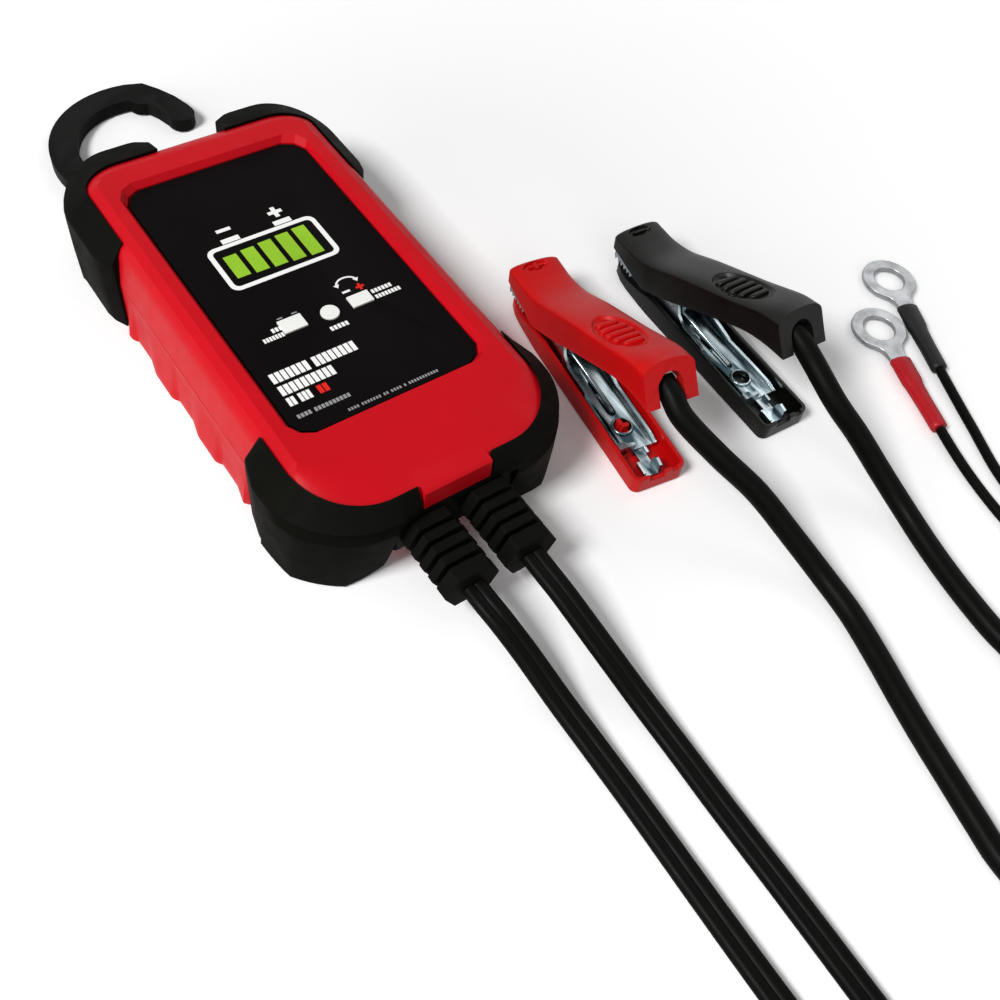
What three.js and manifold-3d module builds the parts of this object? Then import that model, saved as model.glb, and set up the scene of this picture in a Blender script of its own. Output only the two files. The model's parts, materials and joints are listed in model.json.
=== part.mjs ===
// Car battery charger with its cords, two battery clamps and a set of ring terminals.
// Millimetres. +Z is up, +Y runs toward the hanging hook, the origin is on the flat back, under the case's middle.
import * as THREE from "three";
import { mergeVertices } from "three/addons/utils/BufferGeometryUtils.js";
import Module from "manifold-3d";

// ---- driving dimensions ----
const GAP = 0.3; // free air between pieces that rest on or fit into each other

const CASE_HALF_WIDTH = 36.2;
const CASE_BACK_Y = 68.5;
const CASE_FRONT_Y = -68.5;
const CASE_BACK_RADIUS = 14;
const CASE_FRONT_RADIUS = 20;
const SPLIT_Z = 15;
const DECK_Z = 29.3;
const WALL = 2;
const ROOF_Z = 24; // underside of the deck inside the case
const FRONT_DRAFT = 4.2; // how far the front wall leans in at the floor
const FRONT_DRAFT_TOP = 21; // the height where the lean ends

const FLARE = 2.0; // lower side walls spread at the floor
const SCALLOP = 1.3; // depth of a finger scallop
const SCALLOP_PITCH = 24;
const SCALLOP_START = 28.6;
const SCALLOP_SPAN = [-36, 32];
const FLARE_TOP = 13;

const LABEL = {
  halfWidth: 26,
  low: CASE_FRONT_Y + 26,
  high: CASE_BACK_Y - 17,
  thick: 1.2,
  top: DECK_Z - 1.8,
  chamfer: 5,
};
const RECESS_MARGIN = 1.3;
const WINDOWS = [
  { name: "battery_window", x: -9.7, y: -10.2, width: 6.5, length: 4.5, round: 0 },
  { name: "status_window", x: 0.2, y: -11.3, width: 4.9, length: 4.9, round: 1 },
  { name: "power_window", x: 9.2, y: -10.9, width: 6.1, length: 4, round: 0 },
];

const NOSE_HALF_WIDTH = 9.3;
const NOSE_Z = [20.6, 26.7];
const BUMPER_SIDE_END = { back: 34, front: -38 };
const BUMPER_INNER_END = 10;

const HOOK = { y: CASE_BACK_Y + 29.1, radius: 25.1, width: 8.6, low: 0.6, high: 4.6 };
const HINGE = { y: CASE_BACK_Y - 1.5, z: 2.6, barrel: 2.3, halfLength: 8.8, pin: 1.2, pinHalf: 12.4 };

const SCREW_INSET = { back: [7.2, 10.5], front: [11.2, 18.5] }; // from the case's sides and from its ends
const SCREWS = [
  ["back", "left", -1],
  ["back", "right", 1],
  ["front", "left", -1],
  ["front", "right", 1],
].map(([end, side, sign]) => ({
  name: `case_screw_${end}_${side}`,
  x: sign * (CASE_HALF_WIDTH - SCREW_INSET[end][0]),
  y: end === "back" ? CASE_BACK_Y - SCREW_INSET[end][1] : CASE_FRONT_Y + SCREW_INSET[end][1],
}));
const SCREW = { shank: 1.5, head: 2.8, headHeight: 2.2, sink: 1.6, top: 22.5, boss: 4.4 };

const BOARD = { x: CASE_HALF_WIDTH - 7.2, low: CASE_FRONT_Y + 23.5, high: CASE_BACK_Y - 22.5, z: 9.4, thick: 1.6 };

const RELIEF = { x: 8.3, z: 13.5, top: 4.5, side: 7.5, half: 5.3, start: CASE_FRONT_Y - 1.2 };
const RELIEF_BANDS = [3.3, 1.2, 2.4, 1.2, 2.4, 1.2, 2.4, 1.2, 4]; // block, then gap and rib by turns
const PLATE_HALF_WIDTH = 16.2;
const PLATE_Z = [6.4, 20.2];
const PLATE_FRONT_Y = CASE_FRONT_Y - 0.9;

const FLAT_CORD = { width: 6.4, thick: 3.4 };
const FLOOR_CORD_Z = 1.8; // height of a flat cord's middle where it lies on the floor
const SECTION_TOP = 0.6; // share of a flat cord's width that its flat top takes
const COIL = { middle: 35.2, pitch: 6.9, layer: 3.9, z: 2.75 };
const AC_TURNS = 7.5;
const DC_TURNS = 7.25;
const TIE = { thick: 0.7, width: 6 };

const CLAMP = { length: 73.6, lowerHalf: 7.9, upperHalf: 7.5, wall: 1.2, pivotY: 47, pivotZ: 10 };
const CLAMPS = [
  { name: "red", x: 55.9, y: -83.4, turn: -8.1, colour: 0xc0101c },
  { name: "black", x: 98.3, y: -87, turn: -2.8, colour: 0x1d1d1c },
];
const ARCH = { radius: 4, z: 31.4 }; // the opening for the lead in a clamp's tail
const LEAD_DIAMETER = 6;
const RING = { hole: 4.87, outer: 8.3, thick: 1.5, z: 1.4 };
const WIRE_DIAMETER = 2.8;

const CONNECTOR = { width: 17, height: 9, length: 26, z: 4.8 };

// ---- colours ----
const paint = (color, roughness, metalness = 0) => ({ color, roughness, metalness });
const RED = paint(0xc5141d, 0.42);
const RUBBER = paint(0x161614, 0.7);
const BLACK = paint(0x1b1b1a, 0.5);
const LABEL_BLACK = paint(0x151213, 0.35);
const CORD = paint(0x171614, 0.45);
const STEEL = paint(0xb9bcc0, 0.25, 1);
const BRASS = paint(0xc9a959, 0.3, 1);

// ---- solids ----
const wasm = await Module();
wasm.setup();

function solid(geometry) {
  const plain = geometry.index ? geometry.toNonIndexed() : geometry.clone();
  plain.deleteAttribute("normal");
  plain.deleteAttribute("uv");
  const merged = mergeVertices(plain, 1e-4);
  return new wasm.Manifold(
    new wasm.Mesh({
      numProp: 3,
      vertProperties: merged.attributes.position.array,
      triVerts: new Uint32Array(merged.index.array),
    }),
  );
}

function geometryOf(body) {
  const data = body.getMesh();
  const geometry = new THREE.BufferGeometry();
  geometry.setAttribute("position", new THREE.BufferAttribute(data.vertProperties, 3));
  geometry.setIndex(new THREE.BufferAttribute(data.triVerts, 1));
  geometry.computeVertexNormals();
  return geometry;
}

const join = (...pieces) => geometryOf(pieces.map(solid).reduce((a, b) => a.add(b)));
const cut = (first, ...pieces) => geometryOf(pieces.map(solid).reduce((a, b) => a.subtract(b), solid(first)));
const common = (a, b) => geometryOf(solid(a).intersect(solid(b)));

const at = (geometry, x, y, z) => geometry.clone().translate(x, y, z);

// A box between two corners.
function block(x0, x1, y0, y1, z0, z1) {
  return at(
    new THREE.BoxGeometry(x1 - x0, y1 - y0, z1 - z0),
    (x0 + x1) / 2,
    (y0 + y1) / 2,
    (z0 + z1) / 2,
  );
}

// A cylinder standing on z0.
function post(x, y, z0, z1, radius, sides = 20) {
  const cylinder = new THREE.CylinderGeometry(radius, radius, z1 - z0, sides);
  return at(cylinder.rotateX(Math.PI / 2), x, y, (z0 + z1) / 2);
}

// A cylinder along X about (y, z).
function crossRod(x0, x1, y, z, radius, sides = 20) {
  const cylinder = new THREE.CylinderGeometry(radius, radius, x1 - x0, sides);
  return at(cylinder.rotateZ(Math.PI / 2), (x0 + x1) / 2, y, z);
}

// A polygon in plan, raised from z0 to z1.
function prism(points, z0, z1) {
  const shape = new THREE.Shape(points.map(([x, y]) => new THREE.Vector2(x, y)));
  return at(new THREE.ExtrudeGeometry(shape, { depth: z1 - z0, bevelEnabled: false }), 0, 0, z0);
}

// A side view, points (y, z), widened from x0 to x1.
function sideways(points, x0, x1) {
  const shape = new THREE.Shape(points.map(([y, z]) => new THREE.Vector2(y, z)));
  const slab = new THREE.ExtrudeGeometry(shape, { depth: x1 - x0, bevelEnabled: false });
  const axes = new THREE.Matrix4().makeBasis(
    new THREE.Vector3(0, 1, 0),
    new THREE.Vector3(0, 0, 1),
    new THREE.Vector3(1, 0, 0),
  );
  return at(slab.applyMatrix4(axes), x0, 0, 0);
}

// Loops of equal length, skinned one to the next and capped at both ends.
function loft(loops) {
  const count = loops[0].length;
  const positions = loops.flat(2);
  const index = [];
  for (let level = 0; level + 1 < loops.length; level++) {
    for (let i = 0; i < count; i++) {
      const a = level * count + i;
      const b = level * count + ((i + 1) % count);
      index.push(a, b, b + count, a, b + count, a + count);
    }
  }
  const cap = (loop, start, flip) => {
    const [o, p] = [new THREE.Vector3(...loop[0]), new THREE.Vector3()];
    const normal = new THREE.Vector3();
    for (let i = 0; i < count; i++) {
      const u = new THREE.Vector3(...loop[i]).sub(o);
      normal.add(p.crossVectors(u, new THREE.Vector3(...loop[(i + 1) % count]).sub(o)));
    }
    normal.normalize();
    const side = Math.abs(normal.z) > 0.7 ? new THREE.Vector3(1, 0, 0) : new THREE.Vector3(0, 0, 1);
    const u = new THREE.Vector3().crossVectors(side, normal).normalize();
    const v = new THREE.Vector3().crossVectors(normal, u);
    const flat = loop.map((q) => {
      const d = new THREE.Vector3(...q).sub(o);
      return new THREE.Vector2(d.dot(u), d.dot(v));
    });
    for (const [a, b, c] of THREE.ShapeUtils.triangulateShape(flat, []))
      index.push(...(flip ? [a, c, b] : [a, b, c]).map((i) => i + start));
  };
  cap(loops[0], 0, true);
  cap(loops.at(-1), (loops.length - 1) * count, false);
  const geometry = new THREE.BufferGeometry();
  geometry.setAttribute("position", new THREE.Float32BufferAttribute(positions, 3));
  geometry.setIndex(index);
  return geometry;
}

// A section swept along a curve.
function sweep(curve, section, steps) {
  const shape = new THREE.Shape(section.map(([x, y]) => new THREE.Vector2(x, y)));
  return new THREE.ExtrudeGeometry(shape, { steps, extrudePath: curve, bevelEnabled: false });
}

const round = (diameter, sides) =>
  Array.from({ length: sides }, (_, i) => {
    const a = (2 * Math.PI * (i + 0.5)) / sides;
    return [(diameter / 2) * Math.cos(a), (diameter / 2) * Math.sin(a)];
  });

const through = (points) =>
  new THREE.CatmullRomCurve3(points.map((p) => new THREE.Vector3(...p)), false, "centripetal");

const part = new THREE.Group();
part.name = "car_battery_charger";

function mesh(name, geometry, finish) {
  const made = new THREE.Mesh(geometry, new THREE.MeshStandardMaterial(finish));
  made.name = name;
  part.add(made);
  return made;
}

// ---- the case outline ----
// Points all round the plan, each with its outward normal, in counter-clockwise order.
function planPoints(sideStep, arcSteps) {
  const points = [];
  const arc = (cx, cy, r, from) => {
    for (let i = 0; i <= arcSteps; i++) {
      const a = from + (i / arcSteps) * (Math.PI / 2);
      points.push({ x: cx + r * Math.cos(a), y: cy + r * Math.sin(a), nx: Math.cos(a), ny: Math.sin(a) });
    }
  };
  const side = (sign) => {
    const [low, high] = [BUMPER_SIDE_END.front, BUMPER_SIDE_END.back];
    const count = Math.round((high - low) / sideStep);
    for (let i = 0; i <= count; i++) {
      const y = sign > 0 ? low + ((high - low) * i) / count : high - ((high - low) * i) / count;
      points.push({ x: sign * CASE_HALF_WIDTH, y, nx: sign, ny: 0 });
    }
  };
  const end = (sign) => {
    for (const x of [-sign * -BUMPER_INNER_END, sign * -BUMPER_INNER_END])
      points.push({ x, y: sign > 0 ? CASE_BACK_Y : CASE_FRONT_Y, nx: 0, ny: sign });
  };
  const [backX, backY] = [CASE_HALF_WIDTH - CASE_BACK_RADIUS, CASE_BACK_Y - CASE_BACK_RADIUS];
  const [frontX, frontY] = [CASE_HALF_WIDTH - CASE_FRONT_RADIUS, CASE_FRONT_Y + CASE_FRONT_RADIUS];
  side(1);
  arc(backX, backY, CASE_BACK_RADIUS, 0);
  end(1);
  arc(-backX, backY, CASE_BACK_RADIUS, Math.PI / 2);
  side(-1);
  arc(-frontX, frontY, CASE_FRONT_RADIUS, Math.PI);
  end(-1);
  arc(frontX, frontY, CASE_FRONT_RADIUS, -Math.PI / 2);
  return points;
}

// A level says how far out the wall stands, and how high, at the sides, the back and the front.
const level = (side, back, front) => ({ side, back, front });
const flatLevel = (z, side, back = side, front = side) => level([side, z], [back, z], [front, z]);
const frontLean = (z) => FRONT_DRAFT * Math.max(0, 1 - z / FRONT_DRAFT_TOP);

function placed(p, lv, extra = 0) {
  const end = p.ny < 0 ? lv.front : lv.back;
  const w = p.nx * p.nx;
  const z = w * lv.side[1] + (1 - w) * end[1];
  const lean = p.ny < -1e-6 ? frontLean(z) : 0;
  return [p.x + p.nx * (lv.side[0] + extra), p.y + p.ny * (end[0] + extra) + lean, z];
}

// How far the lower side wall stands out at the floor: a spread with finger scallops pressed into it.
function flareAt(y) {
  const [low, high] = SCALLOP_SPAN;
  if (y <= low || y >= high) return 0;
  const edge = Math.min(1, (high - y) / 2, (y - low) / 2);
  const t = ((((SCALLOP_START - y) / SCALLOP_PITCH) % 1) + 1) % 1;
  const ramp = (from, to) => Math.min(1, Math.max(0, (t - from) / (to - from)));
  const press = ramp(0, 0.07) * (1 - ramp(0.4, 0.62));
  return edge * (FLARE - SCALLOP * press);
}

const plan = planPoints(2, 7);
const roughPlan = planPoints(18, 4);

const SHOULDER = [
  flatLevel(SPLIT_Z + GAP / 2, 0),
  level([-1.2, 24.5], [-1.6, 24.5], [-0.6, 24.5]),
  level([-2.0, 26.6], [-3.6, 26.6], [-1.5, 26.6]),
  level([-3.4, 28.2], [-6.2, 28.2], [-8.0, 28.2]),
  flatLevel(DECK_Z, -5.7, -9.5, -16),
];

const upperOuter = loft(SHOULDER.map((lv) => plan.map((p) => placed(p, lv))));
const lowerLevels = [0, 4.5, 9, FLARE_TOP, SPLIT_Z - GAP / 2];
const lowerOuter = loft(
  lowerLevels.map((z) =>
    plan.map((p) => {
      const [x, y] = placed(p, flatLevel(z, 0));
      const spread = p.ny === 0 ? flareAt(p.y) * Math.max(0, 1 - z / FLARE_TOP) : 0;
      return [x + p.nx * spread, y, z];
    }),
  ),
);
const hollow = (zs) => loft(zs.map((z) => roughPlan.map((p) => placed(p, flatLevel(z, -WALL)))));

// ---- label recess and windows ----
function chamferedPlate(grow) {
  const x = LABEL.halfWidth + grow;
  const [low, high] = [LABEL.low - grow, LABEL.high + grow];
  const c = LABEL.chamfer;
  const half = [[x, low + c], [x, high - c], [x - c * 0.35, high - c * 0.35], [x - c, high]];
  const corner = [x - c, low];
  const corner2 = [x - c * 0.35, low + c * 0.35];
  const right = [corner, corner2, ...half];
  return [...right, ...right.toReversed().map(([a, b]) => [-a, b])];
}

function windowOutline(w, grow) {
  const [hx, hy] = [w.width / 2 + grow, w.length / 2 + grow];
  if (w.round) return round(2 * hx, 20).map(([x, y]) => [w.x + x, w.y + y]);
  return [[w.x - hx, w.y - hy], [w.x + hx, w.y - hy], [w.x + hx, w.y + hy], [w.x - hx, w.y + hy]];
}

const recessFloor = LABEL.top - LABEL.thick - GAP;
const recess = loft([
  chamferedPlate(GAP).map(([x, y]) => [x, y, recessFloor]),
  chamferedPlate(GAP + 0.1).map(([x, y]) => [x, y, LABEL.top]),
  chamferedPlate(RECESS_MARGIN + 0.3).map(([x, y]) => [x, y, DECK_Z + 0.2]),
]);

// ---- openings in the front wall for the two cords ----
const throat = { halfWidth: 4.5, halfHeight: 3.5 };
const frontHole = (x) =>
  block(
    x - throat.halfWidth - GAP,
    x + throat.halfWidth + GAP,
    CASE_FRONT_Y - 4,
    CASE_FRONT_Y + 9,
    RELIEF.z - throat.halfHeight - GAP,
    RELIEF.z + throat.halfHeight + GAP,
  );

// ---- upper shell ----
const nose = sideways(
  [
    [CASE_FRONT_Y + 5, NOSE_Z[0]],
    [CASE_FRONT_Y - 1, NOSE_Z[0]],
    [CASE_FRONT_Y - 1, NOSE_Z[1] - 0.5],
    [CASE_FRONT_Y - 0.4, NOSE_Z[1]],
    [CASE_FRONT_Y + 5, NOSE_Z[1] + 0.6],
  ],
  -NOSE_HALF_WIDTH,
  NOSE_HALF_WIDTH,
);
const upperBosses = SCREWS.map((s) => post(s.x, s.y, SPLIT_Z + GAP / 2, ROOF_Z + 1, SCREW.boss));
const upperBores = SCREWS.map((s) => post(s.x, s.y, SPLIT_Z - 1, SCREW.top + 0.6, SCREW.shank + 0.2));
mesh(
  "top_shell",
  cut(
    join(cut(upperOuter, hollow([SPLIT_Z - 1, ROOF_Z])), nose, ...upperBosses),
    recess,
    ...WINDOWS.map((w) => prism(windowOutline(w, GAP), ROOF_Z - 1, DECK_Z)),
    ...[-RELIEF.x, RELIEF.x].map(frontHole),
    ...upperBores,
  ),
  RED,
);

// ---- hanging hook ----
// Middle line of the hook, from the hinge round the left to the tip.
const hookArc = Array.from({ length: 25 }, (_, i) => {
  const a = ((265 - (i / 24) * 193) * Math.PI) / 180;
  return [HOOK.radius * Math.cos(a), HOOK.y + HOOK.radius * Math.sin(a)];
});
const hookEnd = [[10.2, 20], [12.7, 15], [14.2, 10], [14.5, 8]].map(([x, y]) => [x, HOOK.y + y]);
const hookLine = [...hookArc, ...hookEnd];

// Both edges of a strip of the given width that follows a line, with a round far end.
function strip(line, width) {
  const half = width / 2;
  const left = [];
  const right = [];
  line.forEach(([x, y], i) => {
    const [ax, ay] = line[Math.max(0, i - 1)];
    const [bx, by] = line[Math.min(line.length - 1, i + 1)];
    const length = Math.hypot(bx - ax, by - ay);
    const [nx, ny] = [-(by - ay) / length, (bx - ax) / length];
    left.push([x + nx * half, y + ny * half]);
    right.push([x - nx * half, y - ny * half]);
  });
  const [[lx, ly], [rx, ry]] = [left.at(-1), right.at(-1)];
  const [cx, cy] = [(lx + rx) / 2, (ly + ry) / 2];
  const tip = Array.from({ length: 5 }, (_, i) => {
    const a = Math.atan2(ly - cy, lx - cx) - ((i + 1) * Math.PI) / 6;
    return [cx + half * Math.cos(a), cy + half * Math.sin(a)];
  });
  return [...left, ...tip, ...right.toReversed()];
}

const hookRoot = [-6.5, 4.5, HINGE.y, HOOK.y - HOOK.radius];
const hookFlat = join(
  prism(strip(hookLine, HOOK.width), HOOK.low, HOOK.high),
  block(...hookRoot, HOOK.low, HOOK.high),
  crossRod(-HINGE.halfLength, HINGE.halfLength, HINGE.y, HINGE.z, HINGE.barrel, 16),
);
mesh(
  "hanging_hook",
  cut(hookFlat, crossRod(-20, 20, HINGE.y, HINGE.z, HINGE.pin + 0.05, 16)),
  BLACK,
);
mesh("hook_pin", crossRod(-HINGE.pinHalf, HINGE.pinHalf, HINGE.y, HINGE.z, HINGE.pin, 16), STEEL);

// ---- lower shell ----
// The folded hook lies in a groove of its own outline: the open outline mirrored about the hinge.
const groove = { margin: 0.7, top: 5.2, roof: 1.6 };
const mirrored = ([x, y]) => [x, 2 * HINGE.y - y];
// The groove starts a little before the arm does, so that the arm's end swings clear of it.
const grooveStart = hookArc[0].map((c, i) => c + (c - hookArc[1][i]) * 0.4);
const foldedStrip = (grow) => strip([grooveStart, ...hookLine], HOOK.width + 2 * grow).map(mirrored).toReversed();
const foldedRoot = (grow, z0, z1) =>
  block(hookRoot[0] - grow, hookRoot[1] + grow, 2 * HINGE.y - hookRoot[3] - grow, HINGE.y + 6, z0, z1);
// The arm swings down past the back edge and up into the groove, so both have a wider mouth beside the hinge.
const mouth = { margin: 2.1, depth: 1.1, points: 4 };
const openMouth = strip(hookArc.slice(0, mouth.points), HOOK.width + 2 * mouth.margin);
const mouths = [openMouth, openMouth.map(mirrored).toReversed()].map((edge) => prism(edge, -1, mouth.depth));
const hingeNotch = (grow, z0, z1) =>
  block(
    -HINGE.halfLength - 0.4 - grow,
    HINGE.halfLength + 0.4 + grow,
    HINGE.y - HINGE.barrel - 0.9 - grow,
    HINGE.y + 8,
    z0,
    z1,
  );
const pad = groove.margin + groove.roof;
const padTop = groove.top + groove.roof;
const groovePad = common(
  lowerOuter,
  join(prism(foldedStrip(pad), 0, padTop), foldedRoot(pad, 0, padTop), hingeNotch(5, 0, padTop)),
);
const standoffs = [[-22, -36], [22, -36], [-11, 36], [11, 36]];
const lowerBosses = SCREWS.map((s) => post(s.x, s.y, 0.5, SPLIT_Z - GAP / 2, SCREW.boss));
const screwPockets = SCREWS.flatMap((s) => [
  post(s.x, s.y, -1, SCREW.sink + SCREW.headHeight, SCREW.head + 0.4),
  post(s.x, s.y, 0, SPLIT_Z + 1, SCREW.shank + 0.3),
]);
mesh(
  "bottom_shell",
  cut(
    join(
      cut(lowerOuter, hollow([WALL, SPLIT_Z + 1])),
      groovePad,
      ...standoffs.map(([x, y]) => post(x, y, 1, BOARD.z - GAP, 2.6, 12)),
      ...lowerBosses,
    ),
    prism(foldedStrip(groove.margin), -1, groove.top),
    foldedRoot(groove.margin, -1, groove.top),
    hingeNotch(0, -1, groove.top + 0.2),
    ...mouths,
    crossRod(-HINGE.pinHalf - GAP, HINGE.pinHalf + GAP, HINGE.y, HINGE.z, HINGE.pin + 0.1, 16),
    ...[-RELIEF.x, RELIEF.x].map(frontHole),
    ...screwPockets,
  ),
  RED,
);

for (const s of SCREWS) {
  const headLow = SCREW.sink;
  const profile = [
    [0, headLow],
    [SCREW.head, headLow],
    [SCREW.head, headLow + SCREW.headHeight - GAP],
    [SCREW.shank, headLow + SCREW.headHeight - GAP],
    [SCREW.shank, SCREW.top - 1.5],
    [0, SCREW.top],
  ].map(([r, z]) => new THREE.Vector2(r, z));
  mesh(s.name, at(new THREE.LatheGeometry(profile, 14).rotateX(Math.PI / 2), s.x, s.y, 0), STEEL);
}

// ---- corner bumpers ----
// A bumper is one profile carried round a corner. Its inner side follows the case, its outer side stands off.
const outside = [
  flatLevel(0, 3.2, 2.6, 2.0),
  flatLevel(12, 3.7, 3.1, 2.9),
  flatLevel(21.5, 4.0, 3.2, 3.3),
  flatLevel(23, 3.5, 2.7, 2.8),
  level([-2.6, 28.4], [-5.4, 28.4], [-1.0, 27.6]),
];
const inside = [SHOULDER[2], SHOULDER[1], SHOULDER[0], flatLevel(0, 0)];
const lipInner = level([-2.6, 27.3], [-5.4, 27.7], [-1.0, 26.1]);

function bumperEndFade(p) {
  const alongSide = p.ny === 0 ? (p.y > 0 ? p.y - BUMPER_SIDE_END.back : BUMPER_SIDE_END.front - p.y) : 99;
  const alongEnd = p.nx === 0 ? Math.abs(p.x) - BUMPER_INNER_END : 99;
  return Math.min(1, 0.45 + 0.55 * (Math.min(alongSide, alongEnd) / 7));
}

function bumper(sx, sy) {
  const back = sy > 0;
  const radius = back ? CASE_BACK_RADIUS : CASE_FRONT_RADIUS;
  const endY = back ? CASE_BACK_Y : CASE_FRONT_Y;
  const sideEnd = back ? BUMPER_SIDE_END.back : BUMPER_SIDE_END.front;
  const [cx, cy] = [CASE_HALF_WIDTH - radius, endY - sy * radius];
  const stations = [];
  for (const t of [0, 0.25, 0.5, 0.75]) stations.push({ x: CASE_HALF_WIDTH, y: sideEnd + (cy - sideEnd) * t, nx: 1, ny: 0 });
  for (let i = 0; i <= 7; i++) {
    const a = ((i / 7) * Math.PI) / 2;
    const [c, s] = [Math.cos(a), Math.sin(a)];
    stations.push({ x: cx + radius * c, y: cy + sy * radius * s, nx: i === 7 ? 0 : c, ny: i === 0 ? 0 : sy * s });
  }
  for (const t of [0.4, 0.7, 1])
    stations.push({ x: cx + (BUMPER_INNER_END - cx) * t, y: endY, nx: 0, ny: sy });
  const loops = stations.map((p) => {
    const fade = bumperEndFade(p);
    const faded = (lv) => {
      const part = ([o, z]) => [o > 0 ? o * fade : o, z];
      return level(part(lv.side), part(lv.back), part(lv.front));
    };
    const outer = outside.map((lv) => placed(p, faded(lv)));
    const inner = [lipInner, ...inside].map((lv) => placed(p, lv, GAP));
    return [...outer, ...inner].map(([x, y, z]) => [sx * x, y, z]);
  });
  if (sx * sy > 0) loops.reverse();
  return loft(loops);
}

const cordWay = block(-16.6, 16.6, CASE_FRONT_Y - 9, CASE_FRONT_Y + 9, -1, PLATE_Z[1] + GAP);
const hookWay = block(-15, 9, CASE_BACK_Y, CASE_BACK_Y + 9, -1, groove.top);
mesh("bumper_back_left", cut(bumper(-1, 1), hookWay), RUBBER);
mesh("bumper_back_right", bumper(1, 1), RUBBER);
mesh("bumper_front_left", cut(bumper(-1, -1), cordWay), RUBBER);
mesh("bumper_front_right", cut(bumper(1, -1), cordWay), RUBBER);

// ---- label panel and windows ----
mesh(
  "label_panel",
  cut(
    prism(chamferedPlate(0), LABEL.top - LABEL.thick, LABEL.top),
    ...WINDOWS.map((w) => prism(windowOutline(w, 0.25), LABEL.top - 3, LABEL.top + 1)),
  ),
  LABEL_BLACK,
);
for (const w of WINDOWS)
  mesh(w.name, prism(windowOutline(w, 0), ROOF_Z + 0.4, LABEL.top + 0.15), paint(0xd8dcd2, 0.25));

// ---- inside the case ----
mesh("circuit_board", block(-BOARD.x, BOARD.x, BOARD.low, BOARD.high, BOARD.z, BOARD.z + BOARD.thick), paint(0x1f5a34, 0.5));
const boardTop = BOARD.z + BOARD.thick + GAP;
mesh(
  "transformer",
  join(
    block(-25, 3, 9, 35, boardTop, boardTop + 2.4),
    block(-21, -1, 9.6, 34.4, boardTop + 2, boardTop + 11.6),
    block(-24.4, 2.4, 15, 29, boardTop + 2, boardTop + 12),
  ),
  paint(0x2c2a28, 0.6),
);
mesh("filter_capacitor", post(18, -30, boardTop, boardTop + 11.8, 6.3, 24), paint(0x23324f, 0.4));
mesh(
  "heat_sink",
  join(
    block(11, 27, 6, 38, boardTop, boardTop + 2.4),
    ...[0, 1, 2, 3, 4].map((i) => block(11 + 3.6 * i, 12.6 + 3.6 * i, 6, 38, boardTop + 2, boardTop + 11.6)),
  ),
  paint(0xa9adb0, 0.4, 1),
);
mesh(
  "led_module",
  join(
    block(-14, 14, -16, -5, boardTop, boardTop + 2),
    ...WINDOWS.map((w) => post(w.x, w.y, boardTop + 1, ROOF_Z - 0.3, 1.9, 12)),
  ),
  paint(0xe8e8e0, 0.4),
);

// ---- cord glands in the nose ----
const plateBack = (z) => CASE_FRONT_Y + frontLean(z) - GAP;
mesh(
  "gland_plate",
  cut(
    sideways(
      [
        [plateBack(PLATE_Z[0]), PLATE_Z[0]],
        [plateBack(PLATE_Z[1]), PLATE_Z[1]],
        [PLATE_FRONT_Y, PLATE_Z[1]],
        [PLATE_FRONT_Y, PLATE_Z[0] + 2],
        [PLATE_FRONT_Y + 1.6, PLATE_Z[0]],
      ],
      -PLATE_HALF_WIDTH,
      PLATE_HALF_WIDTH,
    ),
    ...[-RELIEF.x, RELIEF.x].map(frontHole),
  ),
  BLACK,
);

const hexagon = (k) => [
  [RELIEF.side * k, 0],
  [RELIEF.top * k, RELIEF.half * k],
  [-RELIEF.top * k, RELIEF.half * k],
  [-RELIEF.side * k, 0],
  [-RELIEF.top * k, -RELIEF.half * k],
  [RELIEF.top * k, -RELIEF.half * k],
];
const RELIEF_FRONT = RELIEF.start - RELIEF_BANDS.reduce((a, b) => a + b, 0);

function strainRelief(x) {
  const rings = [];
  let y = RELIEF.start;
  RELIEF_BANDS.forEach((band, i) => {
    const k = i % 2 ? 0.66 : 1;
    for (const end of [y, y - band]) rings.push(hexagon(k).map(([u, v]) => [x + u, end, RELIEF.z + v]));
    y -= band;
  });
  const [w, h] = [throat.halfWidth, throat.halfHeight];
  const [neckEnd, flangeStart] = [CASE_FRONT_Y + 6.3, CASE_FRONT_Y + 4.6];
  const neck = block(x - w, x + w, RELIEF.start - 0.5, neckEnd, RELIEF.z - h, RELIEF.z + h);
  const flange = block(x - w - 1.6, x + w + 1.6, flangeStart, neckEnd + 0.3, RELIEF.z - h - 1.4, RELIEF.z + h + 1.4);
  return join(loft(rings), neck, flange);
}
mesh("strain_relief_ac", strainRelief(-RELIEF.x), RUBBER);
mesh("strain_relief_dc", strainRelief(RELIEF.x), RUBBER);

// ---- flat cords ----
const flatSection = (sides) => {
  const [w, t] = [FLAT_CORD.width / 2, FLAT_CORD.thick / 2];
  const top = w * SECTION_TOP;
  if (sides === 6) return [[w, 0], [top, t], [-top, t], [-w, 0], [-top, -t], [top, -t]];
  return [[w, t * 0.5], [w * 0.7, t], [-w * 0.7, t], [-w, t * 0.5], [-w, -t * 0.5], [-w * 0.7, -t], [w * 0.7, -t], [w, -t * 0.5]];
};

// Keeps a flat section level all along a curve.
function levelled(curve) {
  curve.computeFrenetFrames = (segments) => {
    const frames = { tangents: [], normals: [], binormals: [] };
    for (let i = 0; i <= segments; i++) {
      const tangent = curve.getTangentAt(i / segments);
      const normal = new THREE.Vector3(tangent.y, -tangent.x, 0).normalize();
      frames.tangents.push(tangent);
      frames.normals.push(normal);
      frames.binormals.push(new THREE.Vector3().crossVectors(tangent, normal));
    }
    return frames;
  };
  return curve;
}

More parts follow.
